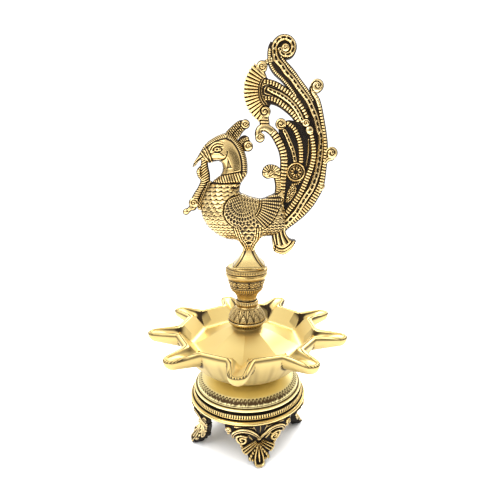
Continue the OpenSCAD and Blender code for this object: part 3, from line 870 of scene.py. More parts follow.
def make_tail_web():
    """The dark ground between the plumes, with its rosette and small plumes."""
    r = Relief((18, 60), (178, 272), 0.26)
    r.fill([(22, 184), (27, 182.4), (33, 186.6), (41, 195), (48, 205), (53.4, 216), (56, 228), (57.4, 243),
        (56.6, 255), (53, 266), (48.6, 270.4), (44, 268.6), (42.6, 263), (38, 264.6), (32, 265.4),
        (26, 262.4), (25.6, 256), (30, 248), (31.4, 238), (30.6, 228), (29, 216), (27, 204), (24.6, 194)],
        0.1, 0.97)
    stipple = 0.3 * notch((r.uu + 0.5 * r.vv) / 1.5, 1) * notch((r.vv - 0.4 * r.uu) / 1.5, 1)
    r.height += stipple * (r.inside > 0)
    r.band([(42.5, 234), (42.4, 240), (41.8, 247.1), (39.8, 253.6), (36.8, 259.4), (32.6, 263)],
        [3.4, 3.7, 3.7, 3.5, 3.2], 2.0, ribs(2.1, 0.9), rim=0)
    r.knob((26.9, 262.8), 4.0, 2.4)
    r.groove(scroll((26.9, 262.8), (29.6, 260.8), -1.3, 0.8), 0.36, 1.0, 0.8)
    r.band([(47.8, 251.4), (48, 245.6), (47.8, 240.6), (46.6, 232)], [1.0, 1.3, 1.3, 1.0], 1.4, rim=0)
    r.band([(37.9, 235.6), (36.4, 242.6), (33.8, 249), (31.2, 254.8), (29.6, 257.6)], [2.8, 3.0, 2.8], 1.8,
        dashes(3.6, 1.1), rim=0)
    x, z = r.uu - 38.7, r.vv - 227.2
    d, a = np.hypot(x, z), np.arctan2(z, x)
    rose = ramp(7.9 - d, 0, 0.4)
    lines = [peak(d - at, size) for at, size in ((6.5, 0.75), (4.7, 0.42))]
    petal = within(d, 1.5, 3.9, 0.3) * (0.5 + 0.5 * np.cos(9 * a)) ** 0.7
    bright = np.clip(1.3 * lines[0] + 1.1 * lines[1] + 1.1 * petal, 0, 1)
    r.redraw(rose, 0.4 + 1.5 * lines[0] + 1.2 * lines[1] + 1.2 * petal, 0.95 * (1 - bright))
    leaf = r.depth_in([(23.6, 211), (27, 214.4), (30.2, 217), (30, 210.6), (30.2, 204.6), (27, 207.4)])
    r.height += 0.9 * ramp(leaf, 0, 0.8)
    r.stain *= 1 - ramp(leaf, 0, 0.8)
    patch = r.depth_in([(30.7, 203.6), (34.6, 204.6), (39.4, 212), (39, 216.4), (35.2, 217.6), (32, 212)])
    patch = ramp(patch, 0, 0.6)
    r.height += patch * (0.5 + 0.8 * scale_rows(r.uu + r.vv, r.vv - r.uu, 2.8, 2.0))
    r.stain *= 1 - 0.72 * patch
    r.band([(35.4, 217.8), (40.4, 218.6), (43.6, 222.4)], [1.6, 2.0, 1.6], 1.4, ribs(1.5, 0.8), rim=0)
    panel("tail_web_cast", r, 0.9, "tail_web", ANTIQUE, "antique_brass")


def make_eye_feather():
    """Two ribbed bands and a slotted one on a dark ground, with a loop round their root."""
    r = Relief((8, 52), (258, 300), 0.25)
    r.fill([(13, 295.6), (16.3, 294.4), (21.3, 293), (26.3, 290.8), (31, 288.4), (38, 283), (45, 276),
        (49, 268), (47, 262), (42, 261.4), (37.6, 265), (33.6, 268.6), (30, 271.6), (25, 275), (20, 276.8),
        (14.6, 277.4), (11.6, 281), (10.4, 286), (10.8, 292)], 0.3, 0.95)
    r.band([(13.6, 292.8), (18.8, 291.9), (23.8, 290), (28.1, 287.5), (32.5, 284.7), (36.3, 281.3),
        (40, 277.5), (43.4, 272.8), (46, 268)], [3.0, 3.6, 3.6, 3.6, 3.0], 1.7, ribs(2.3, 0.9))
    r.band([(14.4, 280.6), (18, 280.8), (22, 279.8), (26.3, 277.6), (30.6, 274.4), (35, 270.6),
        (39.4, 265.4)], [3.0, 3.5, 3.5, 3.3], 1.7, ribs(2.3, 0.9))
    r.band([(17.6, 287.2), (20.9, 285.6), (25, 283.8), (30, 280.9), (34.4, 277.5), (37.8, 273.6),
        (41, 268.5), (43, 264.5)], [2.6, 3.6, 3.6, 3.6, 3.4, 2.8], 1.9, dashes(3.2, 1.0))
    r.ridge([(30, 284.3), (25, 286.9), (20.4, 288.7), (16.6, 289.2), (14.6, 287), (15, 284.4),
        (18.4, 283.2), (22.6, 281.8), (27, 279.4)], 0.5, 0.8)
    r.ridge([(17.6, 290.2), (13.6, 289.8), (12.2, 286.4), (12.8, 283.2), (16, 282.2)], 0.5, 0.9)
    panel("eye_feather_cast", r, 1.3, "eye_feather")


def make_fan_shell():
    """A scallop shell behind the eye feather: ribs that spread round a centre, a curled knob at each end."""
    r = Relief((-4, 26), (258, 310), 0.25)
    centre = (25.0, 286.0)
    x, z = r.uu - centre[0], r.vv - centre[1]
    d, a = np.hypot(x, z), np.degrees(np.arctan2(z, x)) % 360
    pitch = 6.8
    rib = np.abs((a / pitch) % 1 - 0.5) * 2
    edge = 26.0 - 1.1 * rib**2
    depth = np.minimum(np.minimum(edge - d, d - 11.0), np.minimum(a - 133, 239 - a) * d * math.radians(1))
    lift = 0.9 + 1.0 * (1 - rib**2) * ramp(d, 14.6, 16.2) - 0.9 * np.clip((d - 22) / 5, 0, 1) ** 2
    lift -= 1.3 * peak(rib - 1, 0.22) * ramp(d, 15, 16)
    r.raise_to(depth, lift)
    r.stain += 0.75 * ramp(15.4 - d, 0, 1.0) * (r.inside > 0)
    for radius in (12.6, 14.2):
        r.ridge(arc(centre, radius, 142, 226, 40), 0.4, 0.9)
    r.band([(9.4, 301.4), (12.4, 299.4), (14.4, 296)], [2.6, 3.0, 2.6], 1.6)
    r.knob((12.8, 302.8), 4.0, 2.2, curl=-1)
    r.knob((14.8, 271.6), 4.4, 2.1)
    r.groove(scroll((14.8, 271.6), (18.2, 274.4), 1.35, 0.9), 0.5, 1.1, 1.0)
    r.band([(14.6, 270.4), (14.5, 266), (15, 260.4)], [5.0, 6.4, 6.4], 1.4)
    for level in (263.2, 265.4):
        r.groove([(11, level - 0.2), (14.6, level), (18.4, level - 0.2)], 0.4, 0.9, 0.7)
    panel("fan_shell_cast", r, 1.2, "fan_shell")


def make_under_tail():
    """The smooth plume under the tail, with long flutes that end at a lip."""
    r = Relief((16, 44), (160, 188), 0.25)
    front = curve([(19.6, 184.6), (20.4, 180), (20.6, 174), (21.4, 165.9)])
    under = curve([(21.4, 165.9), (24, 164.2), (26.4, 163.4), (29.3, 162.6), (33.2, 164.2), (37.4, 169),
        (39.6, 173.8)])
    back = curve([(39.6, 173.8), (35, 174.9), (32.2, 178.4), (31, 182), (31.2, 185.4), (26, 187)])
    r.fill(joined(front, under, back), 1.2, 0.0, 1.4)
    lip = curve([(22.4, 170.4), (26, 168), (30, 167.8), (34, 170.4), (37, 174.6)])
    r.groove(lip, 0.55, 1.1, 0.9)
    r.groove(shifted(lip, -2.2), 0.3, 0.5, 0.3)
    r.groove([(21.2, 184), (21.2, 178), (23.2, 169.4), (22.4, 166.4)], 0.55, 0.9, 0.7)
    for a, b, c in (((23.2, 185), (23.4, 179), (24.4, 171)), ((25.8, 185), (26.4, 179), (28.4, 171.4)),
            ((28.6, 184.4), (29.4, 179), (32.6, 173))):
        r.groove([a, b, c], 0.75, 1.2, 1.15)
    r.stain += 0.2 * (r.inside > 0) * ramp(r.vv, 170, 174)
    panel("under_tail_cast", r, 3.6, "under_tail_plume")


# ---- turned pieces ----

INNER_PATINA = 0.5


def blur_rows(x, n, axis, wrap=False):
    """The mean of the neighbours on a surface grid; wrap joins the grid's two ends."""
    if wrap:
        x = np.concatenate([np.take(x, np.arange(-n, 0), axis), x, np.take(x, np.arange(n), axis)], axis)
    for _ in range(2):
        x = box_blur(x, max(n // 2, 1), axis)
    return np.take(x, np.arange(n, x.shape[axis] - n), axis) if wrap else x


def turned(name, outer, inner, segments, work, step, dirt=1.0):
    """A piece turned on the lathe: outer runs from its foot up to its top, and inner from the top back
    down. work(angle, r, z) gives the relief's height on the outside and its stain."""
    profile_reach, dirt_reach, dirt_turn = 2.2, 1.3, 0.004
    path = even(np.array(outer, float), step)
    tangent = np.gradient(path, axis=0)
    normal = np.stack([tangent[:, 1], -tangent[:, 0]], 1) / np.hypot(*tangent.T)[:, None]
    angle = np.arange(segments) * TAU / segments
    a, r = np.meshgrid(angle, path[:, 0])
    z = np.broadcast_to(path[:, 1:2], a.shape)
    height, stain = work(a, r, z)
    ends = np.minimum(np.arange(len(path)), len(path) - 1 - np.arange(len(path)))
    height = height * ramp(ends, 0, 1.5)[:, None]
    n = max(int(profile_reach / step), 2)
    soft = np.stack([box_blur(np.pad(path[:, k], n, mode="edge")[:, None], n, 0)[n:-n, 0]
        for k in range(2)], 1)
    flat = ((path - soft) * normal).sum(1)[:, None]
    bulge = flat + height
    low = blur_rows(bulge, max(int(dirt_reach / step), 2), 0)
    low = blur_rows(low, max(int(segments * dirt_turn), 2), 1, True)
    dark = np.clip(dirt * (1.6 * (low - bulge) - 0.9 * np.minimum(flat, 0)) + stain, 0, 1)

    return wound(name, r + height * normal[:, :1], z + height * normal[:, 1:], inner, angle, dark, 35)


def lathe_line(foot, *parts):
    """A lathe outline of (radius, height over the foot) points: a list has corners, a tuple is a curve."""
    return joined(*(curve(part, 0.3) if isinstance(part, tuple) else part for part in parts)) + [0, foot]


def wound(name, rings_r, rings_z, inner, angle, shade, sharp):
    """A closed ring of rows round the axis: the rows given, then round ones with inner's r and z."""
    segments = len(angle)
    plain = np.repeat(np.array(inner, float)[:, :, None], segments, 2)
    rings_r, rings_z = np.vstack([rings_r, plain[:, 0]]), np.vstack([rings_z, plain[:, 1]])
    shade = np.vstack([shade, np.full((len(inner), segments), INNER_PATINA)])
    rows = len(rings_r)
    points = np.stack([rings_r * np.cos(angle), rings_r * np.sin(angle), rings_z], -1).reshape(-1, 3)
    index = np.arange(rows * segments).reshape(rows, segments)
    above = np.roll(index, -1, axis=0)
    faces = np.stack([index, np.roll(index, -1, axis=1), np.roll(above, -1, axis=1), above], -1)
    return mesh(name, points, [faces.reshape(-1, 4)], shade.ravel(), sharp)


RING_TOP = top_of("base_ring")


def make_base_ring():
    """The dark ring that carries the dome: a moulding, a reeded band and a step."""
    z0 = foot_of("base_ring")
    outer = lathe_line(z0, [(38.6, 0), (47.4, 0)], ((48.2, 0.3), (49.25, 1.8), (48.6, 3.2)),
        [(47.8, 3.5), (45.4, 3.6), (45.2, 4.2), (46.4, 4.5), (46.9, 4.8), (46.4, 5.2), (46.1, 7.3),
        (45.7, 7.6), (43.8, 7.7), (43.6, RING_TOP - z0)])

    def work(a, _, z):
        up = z - z0
        reeds = within(up, 5.1, 7.4)
        cuts = notch(a * 150 / TAU, 0.8)
        black = within(up, 3.5, 4.5, 0.1) + ramp(up, 7.45, 7.6)
        return -0.5 * reeds * cuts, reeds * (0.05 + 0.5 * cuts) + black
    ring = turned("base_ring_cast", outer, [(38.7, RING_TOP)], 1100, work, 0.36, dirt=0.8)
    finish_piece(ring, "base", RING_BRASS, "antique_brass", "base_ring")


def make_dome():
    """The polished dome, with a ring of crescents punched near its edge and a rolled lip."""
    z0, z1 = foot_of("pedestal_dome"), top_of("pedestal_dome")
    lip = [(41, RING_TOP), (43.2, RING_TOP), (43.2, 49.5), (44.9, 49.6), (45.5, 50.2), (45.4, 50.9),
        (44.7, 51.5), (43.8, 51.6)]
    outer = joined(lip, [(43.1, 51.7)], curve([(43.2, 52.2), (42.4, 54.4), (39.4, 57.3), (35, 59.0),
        (30, 60.3), (26, z1 - 0.2)], 0.3), [(25.5, z1), (4.2, z1)])
    inner = [(4.2, z0 + 4.9), (9, z0 + 4.9), (9, z1 - 3), (28, z1 - 4.2), (33, 56.4), (38, 53.8),
        (40.6, 50.6)]

    def work(a, r, z):
        on = (z > 52) & (r > 34)
        around = (((a * 84 / TAU) % 1) - 0.5) * 3.0
        out = np.where(r > 39.4, (57.3 - z) * 0.8 + 1.4, (r - 39.4) * 1.05 + 1.4) - 2.4
        crescent = peak(np.hypot(around, out) - 1.0, 0.3) * (1 - 0.8 * peak(around - 0.9, 0.5))
        uneven = 0.5 + 0.5 * np.sin(61 * a + 3 * np.sin(23 * a)) * np.sin(37 * a + out)
        line = peak(out - 2.6, 0.22)
        front = ramp(-np.sin(a), 0.35, 0.95)
        grime = front * peak(out - 0.4 - 0.8 * uneven, 1.3) * (0.35 + 0.6 * uneven)
        height = -0.28 * crescent - 0.2 * line - 0.12 * grime
        stain = 0.62 * crescent + 0.55 * line + 0.75 * grime + 0.2 * peak(out, 1.8)
        black = within(z, 48.2, 49.5, 0.1) + 0.9 * within(z, 51.55, 52.0, 0.1)
        return height * on, stain * on + black
    dome = turned("dome_cast", outer, inner, 960, work, 0.42, dirt=0.8)
    finish_piece(dome, "base", POLISHED, "polished_brass", "pedestal_dome")


def make_bulb():
    """The stem's foot, a bulb of sixteen pointed petals over a milled ring."""
    z0, tall = foot_of("stem_bulb"), top_of("stem_bulb") - foot_of("stem_bulb")
    outer = lathe_line(z0, [(4.2, 0), (11.8, 0), (12.5, 0.3), (12.4, 0.7), (12.7, 0.9)],
        ((12.9, 1), (13.9, 2), (14.8, 3.1)), [(14.6, 3.4), (15.5, 3.8)],
        ((15.9, 4.2), (16.1, 4.9), (15.7, 5.6)), [(15.1, 5.8), (15.1, 6.2)],
        ((15.2, 6.4), (14.9, 8.6), (13.5, 11.4), (11.6, 14), (9.9, 15.9)),
        [(9.3, 16.1), (9.3, 16.6), (8.9, tall), (4.2, tall)])

    def work(a, _, z):
        up = z - z0
        milled = within(up, 1.0, 3.2)
        cuts = 0.7 * notch(a * 60 / TAU, 0.8)
        petal = within(up, 6.4, 15.8, 0.3)
        t = np.clip((up - 6.3) / 9.6, 0, 1)
        turn = a * 16 / TAU
        leaf = np.abs((turn % 1) - 0.5) * 2
        rim_line = peak(t - (1 - leaf**1.7) * 0.94, 0.06)
        inner_line = peak(t - (1 - leaf**1.5) * 0.70, 0.05)
        seam = peak(1 - leaf, 0.08)
        hatch = notch(a * 80 / TAU + 2.2 * t, 1) * (leaf < 0.6)
        veins = 0.5 + 0.5 * np.cos(TAU * (t * 6 - 1.4 * leaf))
        height = petal * 0.35 * (1 - leaf**2) - milled * cuts
        height = height - petal * (0.55 * rim_line + 0.4 * inner_line + 0.6 * seam + 0.22 * hatch * veins)
        stain = petal * (0.10 + 0.65 * rim_line + 0.45 * inner_line + 0.7 * seam + 0.35 * hatch * veins)
        stain = stain + milled * (0.15 + cuts)
        return height, stain + 0.8 * within(up, 5.7, 6.3, 0.1) + 0.9 * within(up, 0.5, 0.9, 0.1)
    piece = turned("bulb_cast", outer, [(4.2, z0 + 10)], 800, work, 0.34)
    finish_piece(piece, "stem", AGED, "antique_brass", "stem_bulb")


def make_collar():
    """The beaded collar over the bulb."""
    z0, tall = foot_of("stem_collar"), top_of("stem_collar") - foot_of("stem_collar")
    outer = lathe_line(z0, [(4.2, 0), (8.6, 0), (8.7, 0.4)], ((9.0, 0.6), (9.5, 1.4), (9.6, 2.8),
        (9.4, 4.2)), [(9.0, tall - 0.8), (8.2, tall - 0.6), (8.1, tall), (4.2, tall)])

    def work(a, _, z):
        up = z - z0
        milled = within(up, 0.9, tall - 1.1)
        beads = np.abs(np.cos(a * 19)) ** 0.8
        edge = peak(up - 0.75, 0.2)
        stain = milled * (0.85 - 0.95 * beads) + 0.7 * edge + 0.9 * (up > tall - 0.75)
        return milled * 0.5 * (beads - 1) - 0.2 * edge, stain
    piece = turned("collar_cast", outer, [(4.2, z0 + tall / 2)], 640, work, 0.3)
    finish_piece(piece, "stem", AGED, "antique_brass", "stem_collar")


def make_urn():
    """The stem's urn: beads, nine flowered panels, a plain moulding and a beaded rim."""
    z0, tall = foot_of("stem_urn"), top_of("stem_urn") - foot_of("stem_urn")
    outer = lathe_line(z0, [(3.2, 0), (7.9, 0), (7.8, 0.5)], ((8.3, 0.9), (8.5, 2.2), (9.3, 4.2),
        (10.8, 6.2), (11.7, 7.2)), [(11.5, 7.5), (12.4, 7.8)], ((12.7, 8), (13.5, 9.4), (13.9, 10.6)),
        [(13.4, 10.9), (13.5, 11.3), (14.1, 11.6)], ((14.2, 11.8), (15, 14.6), (15.8, 17.8)),
        [(15.5, 18.1), (15.6, 18.5), (16.3, 18.8)], ((16.4, 19), (17.0, 20.6), (16.9, 22), (16.4, 22.8)),
        [(16.1, 23.1), (16.2, 23.5), (17.0, 23.8), (17.35, 24.2), (17.35, 26.1), (16.9, 26.7), (15.9, 27.1),
        (15.5, tall - 0.4), (15, tall), (3.2, tall)])

    def work(a, _, z):
        up = z - z0
        low = within(up, 8.0, 10.7)
        panels = within(up, 11.8, 17.9)
        rim = within(up, 24.1, 26.5)
        frame_line = notch(a * 9 / TAU, 60) + notch(a * 9 / TAU + 0.07, 60)
        edge = sum(peak(up - level, 0.22) for level in (12.3, 17.3))
        bloom = np.cos(a * 27 + 1.6 * np.cos(up * 1.15)) * np.cos(up * 2.1 + 0.8 * np.sin(a * 27))
        leaf = np.clip(1.6 * bloom, 0, 1)
        beads = np.abs(np.cos(a * 26)) ** 0.8
        dots = np.abs(np.cos(a * 40)) ** 0.8
        height = low * 0.5 * (beads - 1) - panels * (0.45 * frame_line + 0.3 * edge + 0.4 * (1 - leaf))
        height = height + rim * 0.45 * (dots - 1)
        stain = panels * (0.55 * frame_line + 0.45 * edge + 0.42 * (1 - leaf) - 0.1)
        stain = stain + low * (0.8 - 0.85 * beads)
        grooves = ((10.8, 11.5), (18.0, 18.6), (23.0, 23.7), (7.3, 7.8))
        lines = sum(within(up, low_end, high_end, 0.1) for low_end, high_end in grooves)
        return height, stain + rim * (0.6 - 0.65 * dots) + 0.85 * lines + 0.12 * (up > 19)
    piece = turned("urn_cast", outer, [(3.2, z0 + tall - 11)], 900, work, 0.32)
    finish_piece(piece, "stem", AGED, "antique_brass", "stem_urn")


def make_pyramid():
    """The bird's four-sided foot, hollow-sided and polished, with darker lines along its edges."""
    z0 = foot_of("peacock_foot")
    side = joined([(13.2, z0), (13.2, z0 + 0.7)],
        curve([(12.9, z0 + 1.1), (11.2, 156.2), (9.0, 158.6), (6.9, 161.6), (5.3, 164.6), (4.8, 166.6),
        (5.1, 169), (6.2, 171.6), (8.2, 174.6)], 0.4), [(8.6, 175.8), (0.6, 175.8)])
    side = even(side, 0.4)
    count, off_axis = 400, 2 * MM
    angle = np.arange(count) * TAU / count
    square = 1 / (np.abs(np.cos(angle)) ** 9 + np.abs(np.sin(angle)) ** 9) ** (1 / 9)
    shape = 1 + (square - 1) * ramp(175 - side[:, 1:2], -1, 6)
    r = side[:, :1] * shape
    z = np.repeat(side[:, 1:2], count, 1)
    corner = np.abs(((angle / (TAU / 4)) % 1) - 0.5) * 2
    corner = corner[None, :] * (TAU / 8) * r
    edge_line = peak(corner - 1.5, 0.55) * (z > z0 + 1.4)
    foot_line = peak(z - z0 - 1.3, 0.25)
    r = r - 0.22 * edge_line - 0.15 * foot_line
    # Dark lines in the edge and foot grooves, and painted shade round the top under the bird's body
    shade = np.clip(0.9 * edge_line + 0.6 * foot_line + 0.3 * ramp(z, 162, 168), 0, 1)
    piece = wound("pyramid_cast", r, z, [(3.15, 160.9), (3.15, z0)], angle, shade, 30)
    co = np.zeros(len(piece.data.vertices) * 3)
    piece.data.vertices.foreach_get("co", co)
    co = co.reshape(-1, 3)
    co[:len(side) * count, 0] += off_axis
    piece.data.vertices.foreach_set("co", co.ravel())
    finish_piece(piece, "peacock", DULL, "polished_brass", "peacock_foot")


# ---- the dish ----

SPOUTS = 9
FIRST_SPOUT = math.radians(265.6)
RIM = top_of("dish") - 1.8
# A spout is a cone round its middle line: how far out its nose and its root lie, and their radii
NOSE_AT, NOSE_R, ROOT_AT, ROOT_R = 74.9, 7.1, 54.0, 10.6
LEAN = math.asin((ROOT_R - NOSE_R) / (NOSE_AT - ROOT_AT))
CHANNEL_ROOT, CHANNEL_NOSE = 5.4, 3.7
BOWL_OUT, BOWL_IN = 59, 57
NOWHERE = 999


def spout_reach(off, root, nose, bowl):
    """How far a spout of this root and nose radius reaches at an angle off its middle line."""
    lean = math.asin((root - nose) / (NOSE_AT - ROOT_AT))
    cone = (root + ROOT_AT * math.sin(lean)) / np.sin(off + lean)
    turn = math.atan2(nose * math.cos(lean), NOSE_AT + nose * math.sin(lean))
    side = NOSE_AT * np.sin(off)
    tip = NOSE_AT * np.cos(off) + np.sqrt(np.maximum(nose**2 - side**2, 0))
    reach = np.where(off < turn, tip, cone)
    return np.maximum(np.logaddexp(reach / 0.6, bowl / 0.6) * 0.6, bowl)


def spout_floor(r, off):
    """The underside of a spout's round section, NOWHERE beside it, and the height of its middle line."""
    along, aside = r * np.cos(off), r * np.sin(off)
    past = np.clip(along - ROOT_AT, 0, None)
    radius = np.maximum((ROOT_R - past * math.sin(LEAN)) / math.cos(LEAN), 0.3)
    over = np.maximum(along - NOSE_AT, 0)
    nose = np.sqrt(np.maximum(NOSE_R**2 - over**2, 0))
    radius = np.where(over > 0, np.minimum(radius, nose), radius)
    axis = RIM - 1.8 - 0.09 * (NOSE_AT - along)
    depth = np.sqrt(np.maximum(radius**2 - aside**2, 0))
    start = 0.5 * np.maximum(52 - along, 0) ** 1.5
    return np.where(aside < radius, axis - depth + start, NOWHERE), axis


def soft_min(a, b, soft):
    """The lower of two heights, rounded where they cross."""
    return -soft * np.logaddexp(-a / soft, -np.minimum(b, 400) / soft)


def channel_floor(along):
    """The bottom line of a spout's channel, which runs down to the edge of the bowl's floor."""
    line = curve([(43, 91), (46.4, 88.3), (50, 89.6), (56, 92.4), (64, 96.0), (71, 98.2), (76, 98.9),
        (80, 99.4)])
    return np.where(along < 44.5, NOWHERE, np.interp(along, *line.T))


def make_dish():
    """The dish as rows round the axis: up the bowl's inside, over its lip, down its outside and back up
    underneath. The rows are drawn out into the spouts, where the bowl and the spout share one surface."""
    share = np.linspace(0, 1, 84, endpoint=False)
    offset = share - 0.11 * np.sin(TAU * share)
    turn = TAU / SPOUTS
    angle = (FIRST_SPOUT + turn * (np.arange(SPOUTS)[:, None] + offset[None, :])).ravel()
    signed = (angle - FIRST_SPOUT + turn / 2) % turn - turn / 2
    off = np.abs(signed)[None, :]
    flat = np.ones(off.shape)
    # The wall is straight from one spout to the next
    half, half_in = math.radians(9.2), math.radians(20)
    beyond = 300
    straight = math.cos(half) / np.cos(np.minimum(turn / 2 - off, half))
    straight_in = math.cos(half_in) / np.cos(np.minimum(turn / 2 - off, half_in))

    foot = foot_of("dish")
    bowl_out = joined(curve([(25.5, foot), (33, 65.6), (41, 70.4), (48.4, 77.4)], 2.4)[:-1],
        curve([(48.4, 77.4), (54, 86), (57.6, 94), (BOWL_OUT, RIM - 0.6)], 0.62))
    bowl_in = joined(curve([(12, RIM + 1.6), (24, 96.9), (34, 91.8), (41.4, 88.6)], 2.2)[:-1],
        curve([(41.4, 88.6), (44.4, 87.9), (47.2, 88.6), (49.4, 90.8)], 0.7)[:-1],
        even(np.array([(49.4, 90.8), (BOWL_IN, RIM - 0.6)]), 0.45))
    rim_out, rim_in = BOWL_OUT * straight, BOWL_IN * straight_in
    out_reach = spout_reach(off, ROOT_R, NOSE_R, rim_out)
    in_reach = spout_reach(off, CHANNEL_ROOT, CHANNEL_NOSE, rim_in)

    def stretched(rows, reach, rim, side):
        to_spout, to_wall = ramp(rows, 46, rim), ramp(rows, 40, rim)
        return rows + (reach - rim * side) * to_spout + rim * (side - 1) * to_wall
    r_out = stretched(bowl_out[::-1, :1], out_reach, BOWL_OUT, straight)
    own = np.interp(np.minimum(r_out / straight, BOWL_OUT), *bowl_out.T)
    own = np.where(out_reach - rim_out > 0.05, own, bowl_out[::-1, 1:] * flat)
    own = np.where(r_out > rim_out + 0.01, beyond, own)
    low, axis = spout_floor(r_out, off)
    z_out = np.minimum(soft_min(own, low, 0.35), np.minimum(axis + 0.3, RIM - 1))
    # Painted shade in the crease where a spout's underside meets the bowl
    crease_shade_out = peak(own - low, 0.9) * ramp(r_out, 53, 55)
    r_in = stretched(bowl_in[:, :1], in_reach, BOWL_IN, straight_in)
    own = np.interp(np.minimum(r_in / straight_in, BOWL_IN), *bowl_in.T)
    own = np.where(r_in > rim_in + 0.01, beyond, own)
    along, aside = r_in * np.cos(off), r_in * np.sin(off)
    width = np.interp(along, [46, 51, 56, NOSE_AT], [2.6, 3.6, 5.0, CHANNEL_NOSE])
    nose = np.sqrt(np.maximum(CHANNEL_NOSE**2 - (along - NOSE_AT) ** 2, 0.04))
    width = np.where(along > NOSE_AT, nose, width)
    bottom = channel_floor(along)
    low = bottom + (RIM - 0.8 - np.minimum(bottom, RIM)) * np.minimum(aside / width, 1.3) ** 1.5
    z_in = soft_min(own, np.where(r_in > BOWL_IN, np.minimum(low, RIM - 0.8), low), 0.22)

    # The lip: a dotted outer line, a groove and a plain inner edge. Each row is a place across the lip, a
    # lift over the rim and a patina.
    lip = [(0.0, -1.3, 0.0), (0.04, -0.6, 0.0), (0.13, -0.2, 0.0), (0.25, -0.08, 0.0), (0.36, -0.34, 0.9),
        (0.46, -0.1, 0.1), (0.57, 0.0, 0.0), (0.70, 0.02, 0.0), (0.83, -0.08, 0.0), (0.93, -0.4, 0.25),
        (0.985, -0.8, 0.5), (1.0, -1.3, 0.55)]
    run = run_of(polar((0, 0), out_reach[0], angle))
    dots = notch(run / 2.2, 1.6)[None, :] * ramp(out_reach, 60, 62)
    rows_r = [in_reach + (out_reach - in_reach) * k for k, _, _ in lip]
    rows_z = [RIM + lift - 0.4 * dots * (0.6 < k < 0.9) for k, lift, _ in lip]
    rows_d = [dirt + 0.75 * dots * (0.6 < k < 0.95) for k, _, dirt in lip]

    under = [(22.5, foot), (22.5, 66), (29, 68), (37, 72.6), (43, 78.6), (44, 82.2), (41, 84.6), (12, 98.2),
        (9, 98.2), (9, foot + 0.3), (4.3, foot + 0.3), (4.3, foot + 12), (4.3, RIM - 9.8), (4.3, RIM + 1.8),
        (11.8, RIM + 1.8)]
    rings_r, rings_z = np.vstack([r_in] + rows_r + [r_out]), np.vstack([z_in] + rows_z + [z_out])
    # Painted shadow, with some soot, down one side of each channel's root, darkest in the back spouts
    toward = np.sign(np.cos(angle) * signed)[None, :] * aside / width
    shade_to_back = np.interp(np.sin(angle), [-1, -0.55, 0.1, 0.62, 0.9], [0.12, 0.35, 0.5, 0.85, 1.2])[None, :]
    soot_and_shadow = within(along, 47, 59, 2.4) * within(toward, 0.05, 0.85, 0.3) * ramp(own - z_in, 0.1, 0.8)
    # Painted shadow under each channel's far lip, and painted shade along its edge where it meets the bowl
    far_lip_shadow = within(along, 54, 75, 3.0) * ramp(toward, 0.55, 0.85) * (off < 0.2)
    edge = peak(z_in - own, 0.5) * (off < 0.2) * ramp(along, 46.5, 48) * ramp(toward, -0.3, 0.1)
    soot_and_shade_in = 0.9 * soot_and_shadow * shade_to_back + 0.9 * far_lip_shadow * np.minimum(shade_to_back + 0.15, 0.65) + 0.4 * edge * shade_to_back
    # A painted contact shadow in a ring round the foot of the stem
    soot_and_shade_in = soot_and_shade_in + 0.7 * peak(r_in - 12.8, 0.7)
    streaks = notch(angle * 9.5, 1)[None, :] * notch(angle * 4.1 + 0.3, 1)[None, :]
    # The outside darker towards the bottom, in streaks, with the painted crease shade
    outside = 0.24 + 0.16 * ramp(97 - z_out, 0, 10) * (0.5 + 0.5 * streaks) + 0.85 * crease_shade_out
    shade = np.clip(np.vstack([soot_and_shade_in] + [d * flat for d in rows_d] + [outside]), 0, 1)
    piece = wound("dish_cast", rings_r, rings_z, under, angle, shade, 32)
    finish_piece(piece, "dish", SATIN, "polished_brass", "dish")


# ---- the feet ----

def foot_profile(toe_in):
    """The foot's outer and inner faces as (height, radius), with its toe drawn in by toe_in."""
    outer = curve([(0, 49.8 - toe_in), (3, 50.4 - toe_in), (6, 48.6 - 0.9 * toe_in),
        (12, 44.2 - 0.35 * toe_in), (19, 42.6), (26, 44.4), (34, 48.6), (40, 49.4)])
    inner = curve([(0, 41 - 0.8 * toe_in), (7, 38.4 - 0.4 * toe_in), (14, 37.4), (22, 38.6), (30, 41.5),
        (36, 43.6), (40, 43.8)])
    return outer, inner


